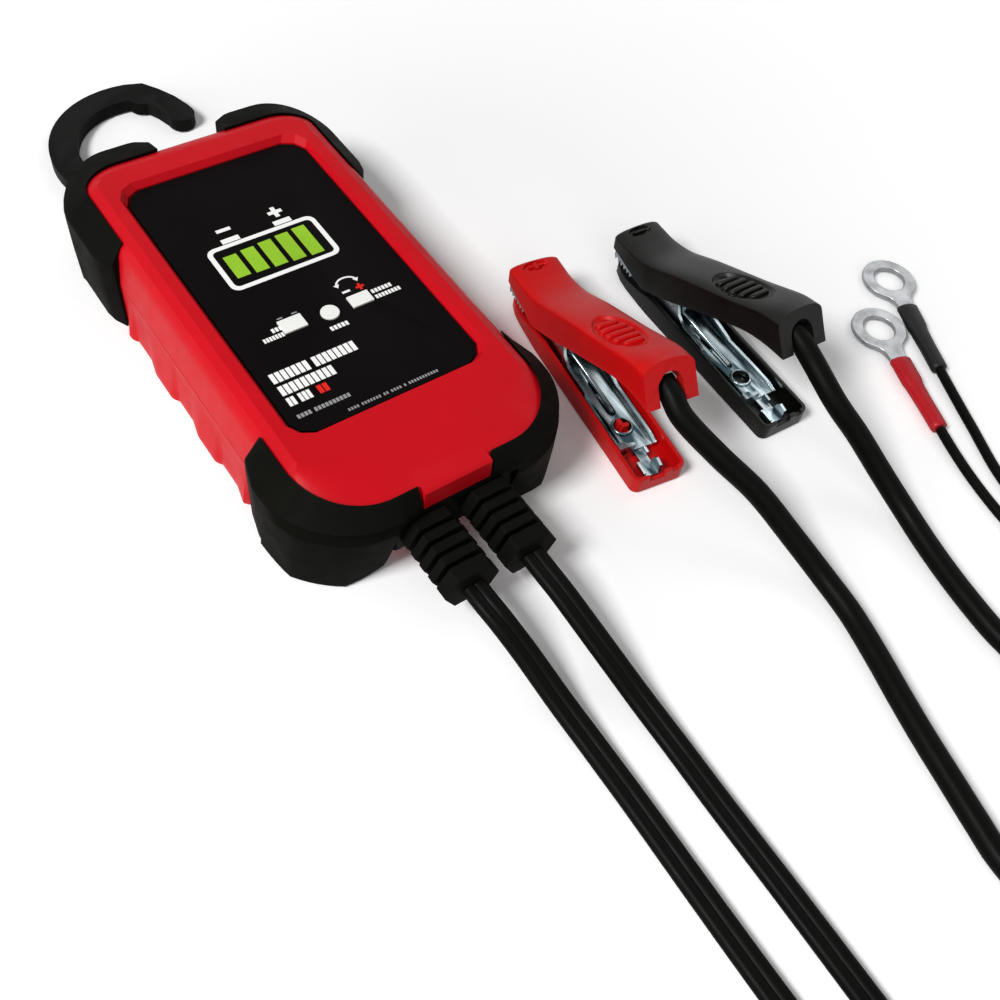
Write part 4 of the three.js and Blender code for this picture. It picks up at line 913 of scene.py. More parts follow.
# ---- label and windows ----
def make_label():
    z0, z1 = LABEL["top"] - LABEL["thick"], LABEL["top"]
    panel = cut(
        from_plan("label_plate", label_outline(0), z0, z1),
        *[from_plan("w", window_outline(w, 0.25), z0 - 1, z1 + 1) for w in WINDOWS.values()],
    )
    finished(bevelled(panel, 0.15, 2), "label", "label_panel")
    for name, window in WINDOWS.items():
        lens = from_plan(name + "_lens", window_outline(window, 0), ROOF_Z + 0.4, z1 + 0.15)
        finished(bevelled(lens, 0.2, 2), "window", name)


# ---- strain reliefs ----
RELIEF_START_Y = -69.7
RELIEF_BANDS = (3.3, 1.2, 2.4, 1.2, 2.4, 1.2, 2.4, 1.2, 4)


RELIEF = {"top": 4.5, "side": 7.5, "half": 5.3, "groove": 0.62}
NECK = {"half_x": 4.5, "half_z": 3.5, "out": 0.5, "into": 6.3}


def make_relief(name, x):
    top, side, half = RELIEF["top"], RELIEF["side"], RELIEF["half"]
    section = [(side, 0), (top, half), (-top, half), (-side, 0), (-top, -half), (top, -half)]
    loops, y = [], RELIEF_START_Y
    for i, band in enumerate(RELIEF_BANDS):
        scale = RELIEF["groove"] if i % 2 else 1
        for end in (y, y - band):
            loops.append([(x + u * scale, end, RELIEF_Z + v * scale) for u, v in section])
        y -= band
    a, b = NECK["half_x"], NECK["half_z"]
    neck = brick(
        "neck", x - a, x + a, RELIEF_START_Y - NECK["out"], CASE["front"] + NECK["into"], RELIEF_Z - b, RELIEF_Z + b)
    finished(bevelled(join(loft(name + "_body", loops), neck), 0.3, 2, angle=25), "rubber", name)


# ---- gland plate, screws and hinge pin ----
PLATE = {"half": 16.2, "low": 6.4, "high": 20.2, "front": -69.4}


def make_gland_plate():
    back, low, high = CASE["front"] - GAP, PLATE["low"], PLATE["high"]
    outline = [
        (back + lean(low), low), (back + lean(high), high), (PLATE["front"], high), (PLATE["front"], low + 2),
        (PLATE["front"] + 1.6, low),
    ]
    plate = cut(from_side("gland_plate_body", outline, -PLATE["half"], PLATE["half"]), *front_holes())
    finished(bevelled(plate, 0.25), "black_plastic", "gland_plate")


def make_screws():
    a, b, deep = CROSS_SLOT["reach"], CROSS_SLOT["half"], CROSS_SLOT["depth"]
    for name, (x, y) in SCREWS.items():
        screw = join(
            rod(name + "_screw", (x, y, SCREW["low"]), (x, y, SCREW["high"]), SCREW["head"]),
            rod("shank", (x, y, 3), (x, y, SCREW["end"]), SCREW["shank"], 20),
        )
        slots = [brick("slot", x - u, x + u, y - v, y + v, 0, deep) for u, v in ((a, b), (b, a))]
        finished(bevelled(cut(screw, *slots), 0.2), "steel", "case_screw_" + name)
    ends = [(side * HINGE["pin_half"], HINGE["y"], HINGE["z"]) for side in (-1, 1)]
    finished(bevelled(rod("hinge_pin", *ends, HINGE["pin"]), 0.2), "steel", "hook_pin")


# ---- plug, ties and connectors ----
PLUG_STATIONS = (
    (-180, 11, 5.4, 2.0), (-180.5, 11.6, 6.0, 2.2), (-181.4, 12, 6.4, 2.4), (-188, 11.9, 6.4, 2.4),
    (-196, 11.4, 6.4, 2.4), (-200, 10.4, 6.1, 2.4), (-204.5, 8.2, 5.2, 2.2), (-208, 6.6, 4.6, 1.8),
    (-209, 4.9, 3.4, 1.4), (-212, 4.8, 3.2, 1.3), (-212.4, 4.0, 2.6, 1.2), (-213.6, 4.0, 2.6, 1.2),
    (-214, 4.7, 3.1, 1.3), (-216.6, 4.6, 3.0, 1.3), (-217, 3.9, 2.5, 1.2), (-218.2, 3.9, 2.5, 1.2),
    (-218.6, 4.5, 2.9, 1.2), (-221.4, 4.4, 2.8, 1.2), (-221.8, 3.8, 2.4, 1.1), (-223, 3.8, 2.4, 1.1),
    (-223.4, 4.3, 2.75, 1.2), (-226, 4.2, 2.7, 1.2),
)


PLUG_GRIP = {"x": 12.2, "first": -188, "pitch": 3, "count": 4, "deep": 0.9, "half": 0.6, "high": 4}
# Side view of a blade, (along, up), and its place, half its thickness and its hole.
BLADE_SIDE = [(-179.95, -3.15), (-163.9, -3.15), (-163, -2.2), (-163, 2.2), (-163.9, 3.15), (-179.95, 3.15)]
BLADE = {"x": 6.35, "half": 0.75, "hole_y": -166.5, "hole": 1.2}


def make_plug():
    loops = [[(PLUG_X + u, y, PLUG_Z + v) for u, v in rounded(w, h, r)] for y, w, h, r in PLUG_STATIONS]
    a, b, high = PLUG_GRIP["deep"], PLUG_GRIP["half"], PLUG_GRIP["high"]
    grooves = [(PLUG_X + side * PLUG_GRIP["x"], PLUG_GRIP["first"] - PLUG_GRIP["pitch"] * i)
               for side in (-1, 1) for i in range(PLUG_GRIP["count"])]
    body = cut(loft("plug_shell", loops), *[
        brick("grip", x - a, x + a, y - b, y + b, PLUG_Z - high, PLUG_Z + high) for x, y in grooves
    ])
    pieces = [finished(bevelled(body, 0.25, 2, angle=40), "black_plastic", "plug_body")]
    for name, side in (("left", -1), ("right", 1)):
        x = PLUG_X + side * BLADE["x"]
        blade = from_side("blade_" + name, shifted(BLADE_SIDE, 0, PLUG_Z), x - BLADE["half"], x + BLADE["half"])
        hole = [(x + end, BLADE["hole_y"], PLUG_Z) for end in (-2, 2)]
        blade = cut(blade, rod("hole", *hole, BLADE["hole"], 24))
        pieces.append(finished(bevelled(blade, 0.2), "brass", "plug_blade_" + name))
    return pieces


# Half the thickness of a tie's band.
TIE_HALF = 0.35


def make_tie(name, coil, angle):
    """A flat band round all turns of a coil, with its lock on top."""
    inner = 2 * COIL["middle"] - coil_outer(coil) - FLAT["width"] / 2 - GAP
    outer = coil_outer(coil) + FLAT["width"] / 2 + GAP
    low, high = COIL["z"] - FLAT["thick"] / 2 - GAP, COIL_TOP_Z + FLAT["thick"] / 2 + GAP
    middle, rise, half, tall = (inner + outer) / 2, (low + high) / 2, (outer - inner) / 2, (high - low) / 2
    loops = []
    for u, v in rounded(half + TIE_HALF, tall + TIE_HALF, 1.4, 6):
        inward = unit(np.array([u / half, v / tall])) * TIE_HALF
        loops.append([
            (middle + u + s * inward[0], w, rise + v + s * inward[1]) for s, w in ((-1, -3), (1, -3), (1, 3), (-1, 3))
        ])
    band = loft(name + "_band", loops, closed=True)
    lock = brick("lock", middle - 4, middle + 1, -3.6, 3.6, high, high + 2.2)
    band = bevelled(join(band, lock), 0.2)
    centre = coil["x"] + coil["hand"] * coil_outer(coil)
    moved(band, Matrix.Translation((centre * MM, coil["y"] * MM, 0)) @ Matrix.Rotation(angle, 4, "Z"))
    return finished(band, "black_plastic", name)


CONNECTOR = {"half": 8.5, "rise": 4.5}
CONNECTOR_STATIONS = (
    (0, 0.8), (0.6, 0.86), (1.2, 0.88), (5, 0.97), (6, 1),
    *[(groove + u, share) for groove in (8, 11, 14) for u, share in ((0, 1), (0.3, 0.94), (1.3, 0.94), (1.6, 1))],
    (24.5, 1), (25.6, 0.97), (26, 0.92),
)


def make_connector(name, x, tail, step):
    """A two-pole connector with three grip grooves. The step is 1 where its face looks along +Y, and -1 otherwise."""
    loops = []
    for along, share in CONNECTOR_STATIONS:
        section = rounded(CONNECTOR["half"] * share, CONNECTOR["rise"] * share, 1.6)
        loops.append([(x + u, tail + step * along, CONNECTOR_Z + v) for u, v in section])
    body = loft(name + "_shell", loops)
    return finished(bevelled(body, 0.15, 1, angle=40), "black_plastic", name)


# ---- battery clamps ----
CLAMP = {"length": 73.6, "lower_half": 7.9, "upper_half": 7.5, "wall": 1.2}
PIVOT = (47, 10)
CLAMPS = {"red": (55.9, -83.4, -8.1), "black": (98.3, -87, -2.8)}
ARCH = {"radius": 3.7, "z": 31.4, "low": 22.4, "deep": 13}
TIP = CLAMP["length"]
# The upper cover's lower edge, shoulder and crown, each (along, up), and its share of the full width.
COVER_ROWS = (
    ((4.6, 28.2), (9.4, 34.6), (11.0, 38), 1), ((11.7, 27.4), (15, 34), (16, 36.2), 1),
    ((18.2, 25.7), (21, 31.4), (22, 33.4), 1), ((24.5, 22.9), (27, 28.5), (28, 30.5), 1),
    ((30.9, 19.6), (33, 25.8), (34, 27.9), 1), ((37.6, 16.2), (39, 23.3), (40, 25.2), 1),
    ((44.5, 12.4), (45.5, 20.5), (46.5, 22.2), 1), ((49.3, 10), (50.5, 18.1), (51.5, 19.7), 1),
    ((54.3, 7.8), (55, 16), (56, 17.6), 1), ((58, 6.8), (59, 14.7), (60, 16.3), 1.02),
    ((TIP - 10.6, 8.1), (TIP - 9.6, 13.9), (TIP - 8.6, 15.6), 1.02),
    ((TIP - 5.6, 9.6), (TIP - 5.1, 13.9), (TIP - 4.6, 15.5), 1.03),
    ((TIP - 1.6, 10.5), (TIP - 1.4, 14), (TIP - 1.2, 15.5), 1.03),
)
GRIP = {"along": 29.3, "middle": -1.1, "half_length": 9.9, "half_width": 5.5, "deep": 0.95, "pitch": 2.85}
RIB = {"half": 1.02, "rise": 1.1, "reaches": (3.1, 4.0, 4.35, 4.0, 3.2)}
NOSE_SHIFT = -0.5
EMBLEM = {"along": 70.9, "middle": -0.8, "half_length": 1.9, "half_width": 4.1, "deep": 0.9}


def ramp(value, low, high):
    t = min(1.0, max(0.0, (value - low) / (high - low)))
    return t * t * (3 - 2 * t)


def pressed(v, u, minus):
    """How deep the cover's top is pressed in: a ribbed oval grip, and an oval field with a raised sign at the nose."""
    dv, du = v - GRIP["middle"], u - GRIP["along"]
    oval = 1 - math.hypot(du / GRIP["half_length"], dv / GRIP["half_width"])
    if oval > 0:
        deep = GRIP["deep"] * ramp(oval, 0, 0.12)
        row = round(du / GRIP["pitch"])
        if abs(row) <= 2:
            past = max(0.0, abs(dv) - RIB["reaches"][row + 2] + RIB["half"])
            off = math.hypot(past, du - row * GRIP["pitch"]) / RIB["half"]
            deep -= RIB["rise"] * max(0.0, 1 - off * off) ** 0.5
        return deep
    dv, du = v - EMBLEM["middle"], u - EMBLEM["along"]
    oval = 1 - math.hypot(du / EMBLEM["half_length"], dv / EMBLEM["half_width"])
    if oval > 0:
        deep = EMBLEM["deep"] * ramp(oval, 0, 0.2)
        across = abs(dv) < 2.2 and abs(du) < 0.36
        upright = not minus and abs(dv) < 0.6 and abs(du) < 1.2
        return deep * (0.1 if across or upright else 1)
    return 0.0


def crown_shares(steps):
    """Places across the crown, from 1 to -1: close together at the shoulders and even over the middle."""
    shoulder = [math.cos(math.pi * i / steps) for i in range(steps // 4)]
    middle = list(np.linspace(0.71, -0.71, steps))
    return shoulder + middle + [-t for t in reversed(shoulder)]


def cover_loop(row, inset, reach, push, minus=False, side_steps=5, steps=64):
    edge_y, edge_z, side_y, side_z, top_y, top_z, share = row
    w = CLAMP["upper_half"] * share - inset
    shift = NOSE_SHIFT * ramp(top_y, 48, 70)
    wall = []
    for i in range(side_steps):
        t = i / side_steps
        wall.append((edge_y + (side_y - edge_y) * t + push, (edge_z - reach) + (side_z - inset - edge_z + reach) * t))
    loop = [(w + shift, y, z) for y, z in wall]
    for t in crown_shares(steps):
        lift = max(0.0, 1 - abs(t) ** 2.5) ** (1 / 2.5)
        y, z = side_y + (top_y - side_y) * lift + push, side_z + (top_z - side_z) * lift - inset
        if inset == 0:
            z -= pressed(w * t + shift, y, minus) * 1.12
        loop.append((w * t + shift, y, z))
    return loop + [(shift - w, y, z) for y, z in reversed(wall)]


def make_cover(name, minus):
    rows = through([(*edge, *side, *top, share) for edge, side, top, share in COVER_ROWS], 28)
    ends = []
    for inset, out in ((0.1, 0.35), (0.35, 0.8), (0.8, 1.15), (1.5, 1.4)):
        last = rows[-1].copy()
        last[[0, 2, 4]] += out
        last[1] += inset * 0.5
        last[[3, 5]] -= inset
        last[6] -= inset / CLAMP["upper_half"]
        ends.append(last)
    loops = [cover_loop(row, 0, 0, 0, minus) for row in [*rows, *ends]]
    cover = loft(name, loops, sharp=40)
    inner = rows[::28]
    inner = [cover_loop(r, CLAMP["wall"], 5, 2.2 if i == 0 else 0, steps=20) for i, r in enumerate(inner)]
    radius, low = ARCH["radius"], ARCH["low"]
    arch = [(radius, low), *arc(0, ARCH["z"], radius, 0, math.pi, 24), (-radius, low)]
    cutter = loft("arch", [[(x, y, z) for x, z in arch] for y in (0, ARCH["deep"])])
    return smooth(cut(cover, loft("inside", inner), cutter), 40)


# Side views of the tray and of its hollow, (along, up).
TRAY_SIDE = [
    (-1, 0.2), (TIP - 20, 0.2), (TIP - 9.6, 1), (TIP - 3.2, 2.6), (TIP - 2, 4.2), (TIP - 2.2, 5.4), (TIP - 3.6, 5.7),
    (TIP - 9, 4.6), (TIP - 14.6, 5.2), (TIP - 18.6, 6.1), (TIP - 22.6, 6.6), (-1, 5.4),
]
TRAY_HOLLOW = [(0, 1.6), (TIP - 20.2, 1.6), (TIP - 10, 2.4), (TIP - 5, 3.8), (TIP - 5, 14), (0, 14)]


def tray_plan(grow):
    w, r = CLAMP["lower_half"] + grow, 2.2 + grow
    tail = arc(w - r, r - grow, r, 0, -math.pi / 2, 6)
    nose = [(w, 46), (w, 57), (w - 0.2, TIP - 6.5), (w - 0.9, TIP - 3.6 + grow), (w - 2.4, TIP - 2.1 + grow)]
    return both_sides(tail[::-1] + nose)


def make_tray(name):
    """The lower cover: a tray with round tail corners that narrows and turns up at the nose."""
    half, wall = CLAMP["lower_half"], CLAMP["wall"]
    tray = from_plan(name, tray_plan(0), -2, 14)
    tray = combined(tray, "INTERSECT", [from_side("side", TRAY_SIDE, -half - 2, half + 2)])
    inside = from_plan("inside", tray_plan(-wall), -1, 13)
    inside = combined(inside, "INTERSECT", [from_side("side", TRAY_HOLLOW, -half, half)])
    tray = cut(
        tray, inside, brick("notch", -3.4, 1.2, -1, wall + 1, 4, 9), brick("step", 3.6, 5.2, -1, wall + 1, 4.7, 9))
    return bevelled(tray, 0.3, 2, angle=35)


PLATE_HALF = CLAMP["lower_half"] - CLAMP["wall"] - 0.7


def channel(half, lip, thick, radius=1.3, steps=5):
    """A sheet section with both sides bent up: flat in the middle, its lips rising by lip."""
    outer, inner = [
        [(half - off, lip), *arc(half - radius, radius, radius - off, 0, -math.pi / 2, steps)] for off in (0, thick)
    ]
    left = [(-x, z) for x, z in outer[::-1] + inner]
    return outer + [(0, 0)] + left + [(0, thick)] + inner[::-1]


PLATE_SHIFT = 0.2
EYE = (-0.35, 19.0)
TROUGH_X = -0.5


# The lower plate's sides stand closer at the tail and wider at the nose: by how much, and between which places.
PLATE_TAIL = (0.7, 34, 43)
PLATE_NOSE = (0.45, 52, 63)
# Its height and the height of its lips, along the clamp.
PLATE_STATIONS = (
    (10.8, 2, 1.2), (14, 2, 2.2), (20, 2, 2.4), (31, 2, 2.4), (33, 2, 3.0), (40, 2, 4.0), (43, 2, 6.5), (45, 2, 11.4),
    (49, 2, 11.4), (52, 2, 6.5), (54, 2.1, 4.2), (TIP - 10.2, 2.8, 2.9), (TIP - 5.4, 4.2, 1.9),
)
LOWER_TEETH = {"count": 6, "first": TIP - 5.8, "pitch": 2.2, "high": 6.0, "slope": 0.09}
TOOTH = ((0.6, -1.6), (0.5, 0), (-0.5, 1.2), (-1.6, 0), (-1.7, -1.6))
# The eye's raised rim and the trough for the spring's leg, (radius, height) and (along, radius).
FLANGE = ((3.3, 2.6), (3.1, 3.2), (2.85, 3.5), (2.5, 3.5), (2.3, 2.9))
TROUGH = ((23.2, 0.3), (23.5, 0.9), (24.2, 1.3), (25.4, 1.4), (36, 1.4), (40, 1.1), (42, 0.3))
CRIMP_TAB = [(-1.7, 6), (1.0, 6), (1.0, 11.5), (-1.7, 11.5)]
# Small sheet pieces in side view, with their width, and the corners that are missing from the plate.
EARS = (
    ([(2.2, 2.1), (6.2, 2.1), (5.6, 5.2), (4.6, 6.2), (2.4, 5.6)], 0.7, 1.5),
    ([(2.4, 2.1), (6.6, 2.1), (6.2, 3.6), (2.8, 3.4)], -3.3, -2.6),
    ([(8.2, 2.1), (10.8, 2.1), (10.6, 4.3), (8.4, 3.9)], 0.8, 1.5),
)
CORNERS = (
    [(1.1, 10), (7, 10), (7, 15.6), (4.9, 13.6)],
    [(-7, 10), (-2.4, 10), (-2.4, 10.85), (-4.2, 11.1), (-5, 12), (-7, 13)],
)


def make_lower_jaw(name):
    loops = []
    for u, low, lip in PLATE_STATIONS:
        tail = 1 - ramp(u, *PLATE_TAIL[1:])
        half = PLATE_HALF - PLATE_TAIL[0] * tail + PLATE_NOSE[0] * ramp(u, *PLATE_NOSE[1:])
        shift = PLATE_SHIFT * tail
        loops.append([(v + shift, u, low + z) for v, z in channel(half, lip, 0.9)])
    jaw = loft(name, loops)
    teeth = []
    for side in (-1, 1):
        x = side * (PLATE_HALF - 0.5)
        for i in range(LOWER_TEETH["count"]):
            y, z = LOWER_TEETH["first"] - LOWER_TEETH["pitch"] * i, LOWER_TEETH["high"] - LOWER_TEETH["slope"] * i
            teeth.append(from_side("tooth", shifted(TOOTH, y, z), x - 0.45, x + 0.45))
    flange = loft("flange", [at_height(arc(*EYE, r, 0, 2 * math.pi, 32)[:-1], z) for r, z in FLANGE])
    jaw = join(
        jaw, flange, *teeth, from_plan("tab", CRIMP_TAB, 2.02, 2.86), brick("crimp", -2.9, 0.9, 2.1, 7.1, 2.04, 2.9),
        *[from_side("ear", *ear) for ear in EARS],
    )
    trough = [[(TROUGH_X + r * u, y, 3.05 + r * 0.8 * v) for u, v in circle(1, 20)] for y, r in TROUGH]
    jaw = cut(
        jaw, rod("hole", (*EYE, 0), (*EYE, 6), 2.2), loft("trough", trough),
        *[from_plan("corner", corner, 1, 7) for corner in CORNERS],
        brick("edge", -7, -4.2, 12, 31.4, 3.3, 7), rod("bore", (-20, *PIVOT), (20, *PIVOT), 1.55),
    )
    return bevelled(jaw, 0.12, 1, angle=45)


# Side views, (along, up), of the upper jaw's plate, of its ears, and of the start of the tooth rows under its edge.
SPINE = [
    (14, 32.2), (21, 28.9), (28, 25.6), (38, 21.4), (45.5, 18), (50.5, 15.6), (55, 13.6), (59, 12.6),
    (TIP - 9.6, 12.2), (TIP - 2.2, 12.4),
]
UPPER_EAR = [
    (TIP - 2.4, 12), (TIP - 9.6, 11.8), (59, 12.2), (55, 13.2), (50.5, 15.2), (45.5, 17.6), (42.4, 19),
    (42, 13.4), (43.4, 8), (47, 6.6), (50.6, 8), (53, 9.4),
]
EAR_TEETH = {"count": 7, "start": (TIP - 17, 7.4), "end": (TIP - 2.4, 9.4), "drop": 1.2}
ROW_TOP = [(71.8, 10.8), (68, 10.1), (62.8, 8.9)]
ROW_END = (71.8, 8.6)
ROW_TEETH = {"count": 6, "pitch": 1.5, "rise": 0.2, "foot": (62.8, 7.5), "point": (63.7, 6.1)}


def make_upper_jaw(name):
    plate = SPINE + [(y - 0.4, z - 1) for y, z in reversed(SPINE)]
    (y0, z0), (y1, z1), count = EAR_TEETH["start"], EAR_TEETH["end"], EAR_TEETH["count"]
    places = [((i + half) / count, half * 2 * EAR_TEETH["drop"]) for i in range(count) for half in (0, 0.5)]
    wall = UPPER_EAR + [(y0 + (y1 - y0) * t, z0 + (z1 - z0) * t - drop) for t, drop in places] + [EAR_TEETH["end"]]
    row = list(ROW_TOP)
    for i in range(ROW_TEETH["count"]):
        along, up = ROW_TEETH["pitch"] * i, ROW_TEETH["rise"] * i
        row += [(y + along, z + up) for y, z in (ROW_TEETH["foot"], ROW_TEETH["point"])]
    row.append(ROW_END)
    jaw = join(
        from_side(name, plate, 0.3 - PLATE_HALF, PLATE_HALF - 0.3),
        from_side("row", row, -7.75, -7.15),
        from_side("row", row, 6.25, 6.85),
        from_side("ear", wall, PLATE_HALF - 2.3, PLATE_HALF - 1.3),
        from_side("ear", wall, 1.3 - PLATE_HALF, 2.3 - PLATE_HALF),
    )
    return bevelled(cut(jaw, rod("bore", (-20, *PIVOT), (20, *PIVOT), 1.6)), 0.15, 1, angle=30)


# Between these two places the spring's upper leg takes up the motion of the upper half.
SPRING_LEG = ((0, 46.4, 12.2), (0, 45.4, 15.2))


def make_spring(name):
    """A torsion spring round the pivot: one leg lies over the lower plate, the other under the upper one."""
    curls, wire, radius, pitch = 3.43, 1.2, 3.1, 1.6
    reach = curls * pitch
    y, z = PIVOT
    coil = []
    for i in range(round(curls * 24) + 1):
        t = i / round(curls * 24)
        a = math.radians(250) + 2 * math.pi * curls * t
        coil.append((-reach / 2 + reach * t, y + radius * math.cos(a), z + radius * math.sin(a)))
    x = TROUGH_X + 0.2
    low = through([(x, y - 22.6, 3.0), (x, y - 14, 3.5), (x - 1, y - 6, 5.2), coil[0]], 10)
    high = through([coil[-1], (reach / 2, y - 1.4, z + 4.9), (reach / 2, y - 9, z + 9.6)], 8)
    line = [np.array(p, float) for p in [*low[:-1], *coil, *high[1:]]]
    return wire_tube(name, line, wire / 2, 12)


def make_clamp(colour):
    x, y, turn = CLAMPS[colour]
    place = Matrix.Translation((x * MM, y * MM, 0)) @ Matrix.Rotation(math.radians(turn), 4, "Z")
    upper = colour + "_clamp_upper"
    finish = "clamp_" + colour
    pivot = [(s * PLATE_HALF, *PIVOT) for s in (-1, 1)]
    made = {
        "cover": (make_cover(colour + "_clamp_cover", colour == "black"), finish, upper, "_upper_cover"),
        "tray": (make_tray(colour + "_clamp_tray"), finish, "charger", "_lower_cover"),
        "plate": (make_lower_jaw(colour + "_clamp_plate"), "steel", "charger", "_lower_jaw"),
        "spine": (make_upper_jaw(colour + "_clamp_spine"), "steel", upper, "_upper_jaw"),
        "spring": (make_spring(colour + "_clamp_spring"), "steel", None, "_spring"),
        "pin": (bevelled(rod(colour + "_clamp_pin", *pivot, 1.5), 0.25), "steel", "charger", "_pivot_pin"),
    }
    made = {part: finished(obj, slot, colour + node, body=body) for part, (obj, slot, body, node) in made.items()}
    pieces = list(made.values())
    if colour == "red":
        lugs = join(
            from_plan(colour + "_clamp_lugs", shifted(rounded(1.1, 0.6, 0.3), 0.1, 18.6), 1.5, 4.1),
            from_plan("lug", shifted(rounded(0.6, 1.0, 0.3), -0.8, 19.9), 1.5, 4.3),
        )
        pieces.append(finished(bevelled(lugs, 0.2), finish))
    for piece in pieces:
        moved(piece, place)
    start, end = map(metres, on_clamp(colour, SPRING_LEG))
    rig.blend(made["spring"], "charger", upper, start=start, end=end)
    return pieces


# ---- clamp leads ----
LEAD_START = ((0.1, 11, 30.4), (0.2, 6.5, 29.3), (0.6, 1.5, 27.0))
# Between these two places a lead takes up the motion of the upper half.
LEAD_BEND = ((0.8, -30, 10), (0.5, 3, 28))
LEAD_WIDTH = 6
LEAD_Z = 3.1
LEADS = {
    "red": [
        (60.4, -93.6, 21.8), (65.6, -104.7, 16), (69.2, -117, 9.2), (70.8, -128, 5), (70.4, -139, 3.3),
        *at_height([
            (67.5, -150.8), (64.1, -162.2), (61.3, -172.3), (58.9, -182.1), (56.6, -191.4), (54.6, -200.6),
            (54.8, -208), (59.5, -216), (68, -219.4), (80, -219.6), (94, -220)], LEAD_Z),
        (106, -222.5, 3.2), (114, -228, 3.8), (118, -234, 4.6), (118, TAIL_Y["clamps"] + GAP, CONNECTOR_Z),
    ],
    "black": [
        (99, -96.8, 21.8), (101.6, -104.9, 16.2), (103.8, -114.2, 9.8), (104.3, -125.5, 5), (102.4, -137.3, 3.3),
        *at_height([(99.6, -151.9), (98.2, -164.8), (99.4, -178), (104, -192), (111, -206)], LEAD_Z),
        (118.5, -218, 3.2), (124.4, -228, 3.9), (126, -233, 4.6), (126, TAIL_Y["clamps"] + GAP, CONNECTOR_Z),
    ],
}


def on_clamp(colour, points):
    """Points across, along and up from a clamp's tail, in the model's frame."""
    x, y, turn = CLAMPS[colour]
    c, s = math.cos(math.radians(turn)), math.sin(math.radians(turn))
    return [(x + v * c - u * s, y + v * s + u * c, z) for v, u, z in points]


def make_lead(colour, pieces):
    line = through(on_clamp(colour, LEAD_START) + LEADS[colour])[::-1]
    lead = finished(wire_tube(colour + "_clamp_cord", line, LEAD_WIDTH / 2, 28), "cord", colour + "_lead", body=None)
    start, end = map(metres, on_clamp(colour, LEAD_BEND))
    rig.blend(lead, "charger", colour + "_clamp_upper", start=start, end=end)
    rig.cord(
        lead, metres(line[0]), length_of(line) * MM, LEAD_WIDTH * MM, "tool", stiffness="medium", lay="loose",
        path=[p * MM for p in line], with_pieces=pieces,
    )


# ---- ring terminals ----
RING = {"hole": 4.87, "outer": 8.3, "thick": 1.5, "z": 1.4}
WIRE = 2.8
WIRE_Z = WIRE / 2 + 0.05
RING_TAIL = {"x": 148, "y": -236}
RINGS = {
    "red": ((150.2, -74.4), (147.3, -83.3), (137.2, -110.5), [
        (134.4, -119, 1.8),
        *at_height([(132, -128), (129.6, -139.6), (128.2, -154), (128.6, -170), (131.6, -188), (136.6, -205)], WIRE_Z),
        (142, -219, 2.2), (145.4, -229, 4), (146, RING_TAIL["y"] + GAP, CONNECTOR_Z)]),
    "black": ((168.9, -61.1), (166, -69.4), (154.6, -95.2), [
        (151, -104, 1.8),
        *at_height([(146.6, -115), (139.9, -131.1), (136.8, -146), (137, -164), (140, -184), (144.6, -203)], WIRE_Z),
        (148.4, -218, 2.2), (150, -228, 4), (150, RING_TAIL["y"] + GAP, CONNECTOR_Z)]),
}


# The lug's half width behind the eye, (along, half width), and the sleeve's sections: its share of the way, half
# width, half height and rise.
RING_NECK = [(7.5, 3.9), (9.2, 3.0)]
SLEEVE_STATIONS = (
    (0.12, 3.1, 1.7, 0.3), (0.14, 3.3, 1.9, 0.4), (0.2, 3.25, 1.95, 0.4), (0.3, 3.1, 2.1, 0.3), (0.4, 3.15, 2.15, 0.2),
    (0.46, 2.75, 2.15, 0.1), (0.5, 2.55, 2.1, 0), (0.7, 2.5, 2.08, 0), (0.95, 2.42, 2.05, 0), (0.99, 2.35, 2.0, 0),
    (1, 2.1, 1.8, 0),
)


def make_ring(colour, pieces):
    eye, sleeve, sleeve_end, wire = RINGS[colour]
    eye, sleeve, sleeve_end = (np.array(p, float) for p in (eye, sleeve, sleeve_end))
    heading = math.atan2(*(sleeve - eye)[::-1])
    neck = [*RING_NECK, (float(np.linalg.norm(sleeve - eye)) + 3, 2.6)]
    outline = arc(0, 0, RING["outer"], math.radians(50), math.radians(310), 59)
    outline += [(x, -y) for x, y in neck] + neck[::-1]
    lug = from_plan(colour + "_ring_eye", outline, 0, RING["thick"])
    hole = from_plan("eye", circle(RING["hole"], 64), -1, RING["thick"] + 1)
    lug = bevelled(cut(lug, hole), 0.3, 3)
    moved(lug, Matrix.Translation((eye[0] * MM, eye[1] * MM, RING["z"] * MM)) @ Matrix.Rotation(heading, 4, "Z"))
    lug = finished(lug, "steel", colour + "_ring_terminal")
    lug.data.materials[0] = TIN
    along = unit(sleeve_end - sleeve)
    across = np.array([-along[1], along[0]])
    size = float(np.linalg.norm(sleeve_end - sleeve))
    middle = RING["z"] + RING["thick"] / 2
    loops = []
    for i, (t, w, h, lift) in enumerate(SLEEVE_STATIONS):
        p = sleeve + along * size * t
        w += 0.08 * math.sin(i * 2.4)
        loops.append([(*(p + across * u * w), middle + lift + v * h) for u, v in circle(1, 28)])
    tubing = finished(loft(colour + "_ring_sleeve", loops, sharp=50), "sleeve_" + colour, colour + "_sleeve")
    first = sleeve_end + along * GAP
    line = through([(first[0], first[1], middle), *wire])[::-1]
    cord = finished(wire_tube(colour + "_ring_cord", line, WIRE / 2), "cord", colour + "_ring_wire")
    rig.cord(
        cord, metres(line[0]), length_of(line) * MM, WIRE * MM, "fitting", stiffness="medium", lay="loose",
        path=[p * MM for p in line], with_pieces=[lug, tubing, *pieces],
    )


# ---- printed marks ----
PRINT_RISE = 0.06
PRINT_SINK = 0.02


def inked(mark, ink):
    mark.data.materials.append(PRINT[ink])
    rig.slot(mark, "label")
    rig.ride(mark, "charger")


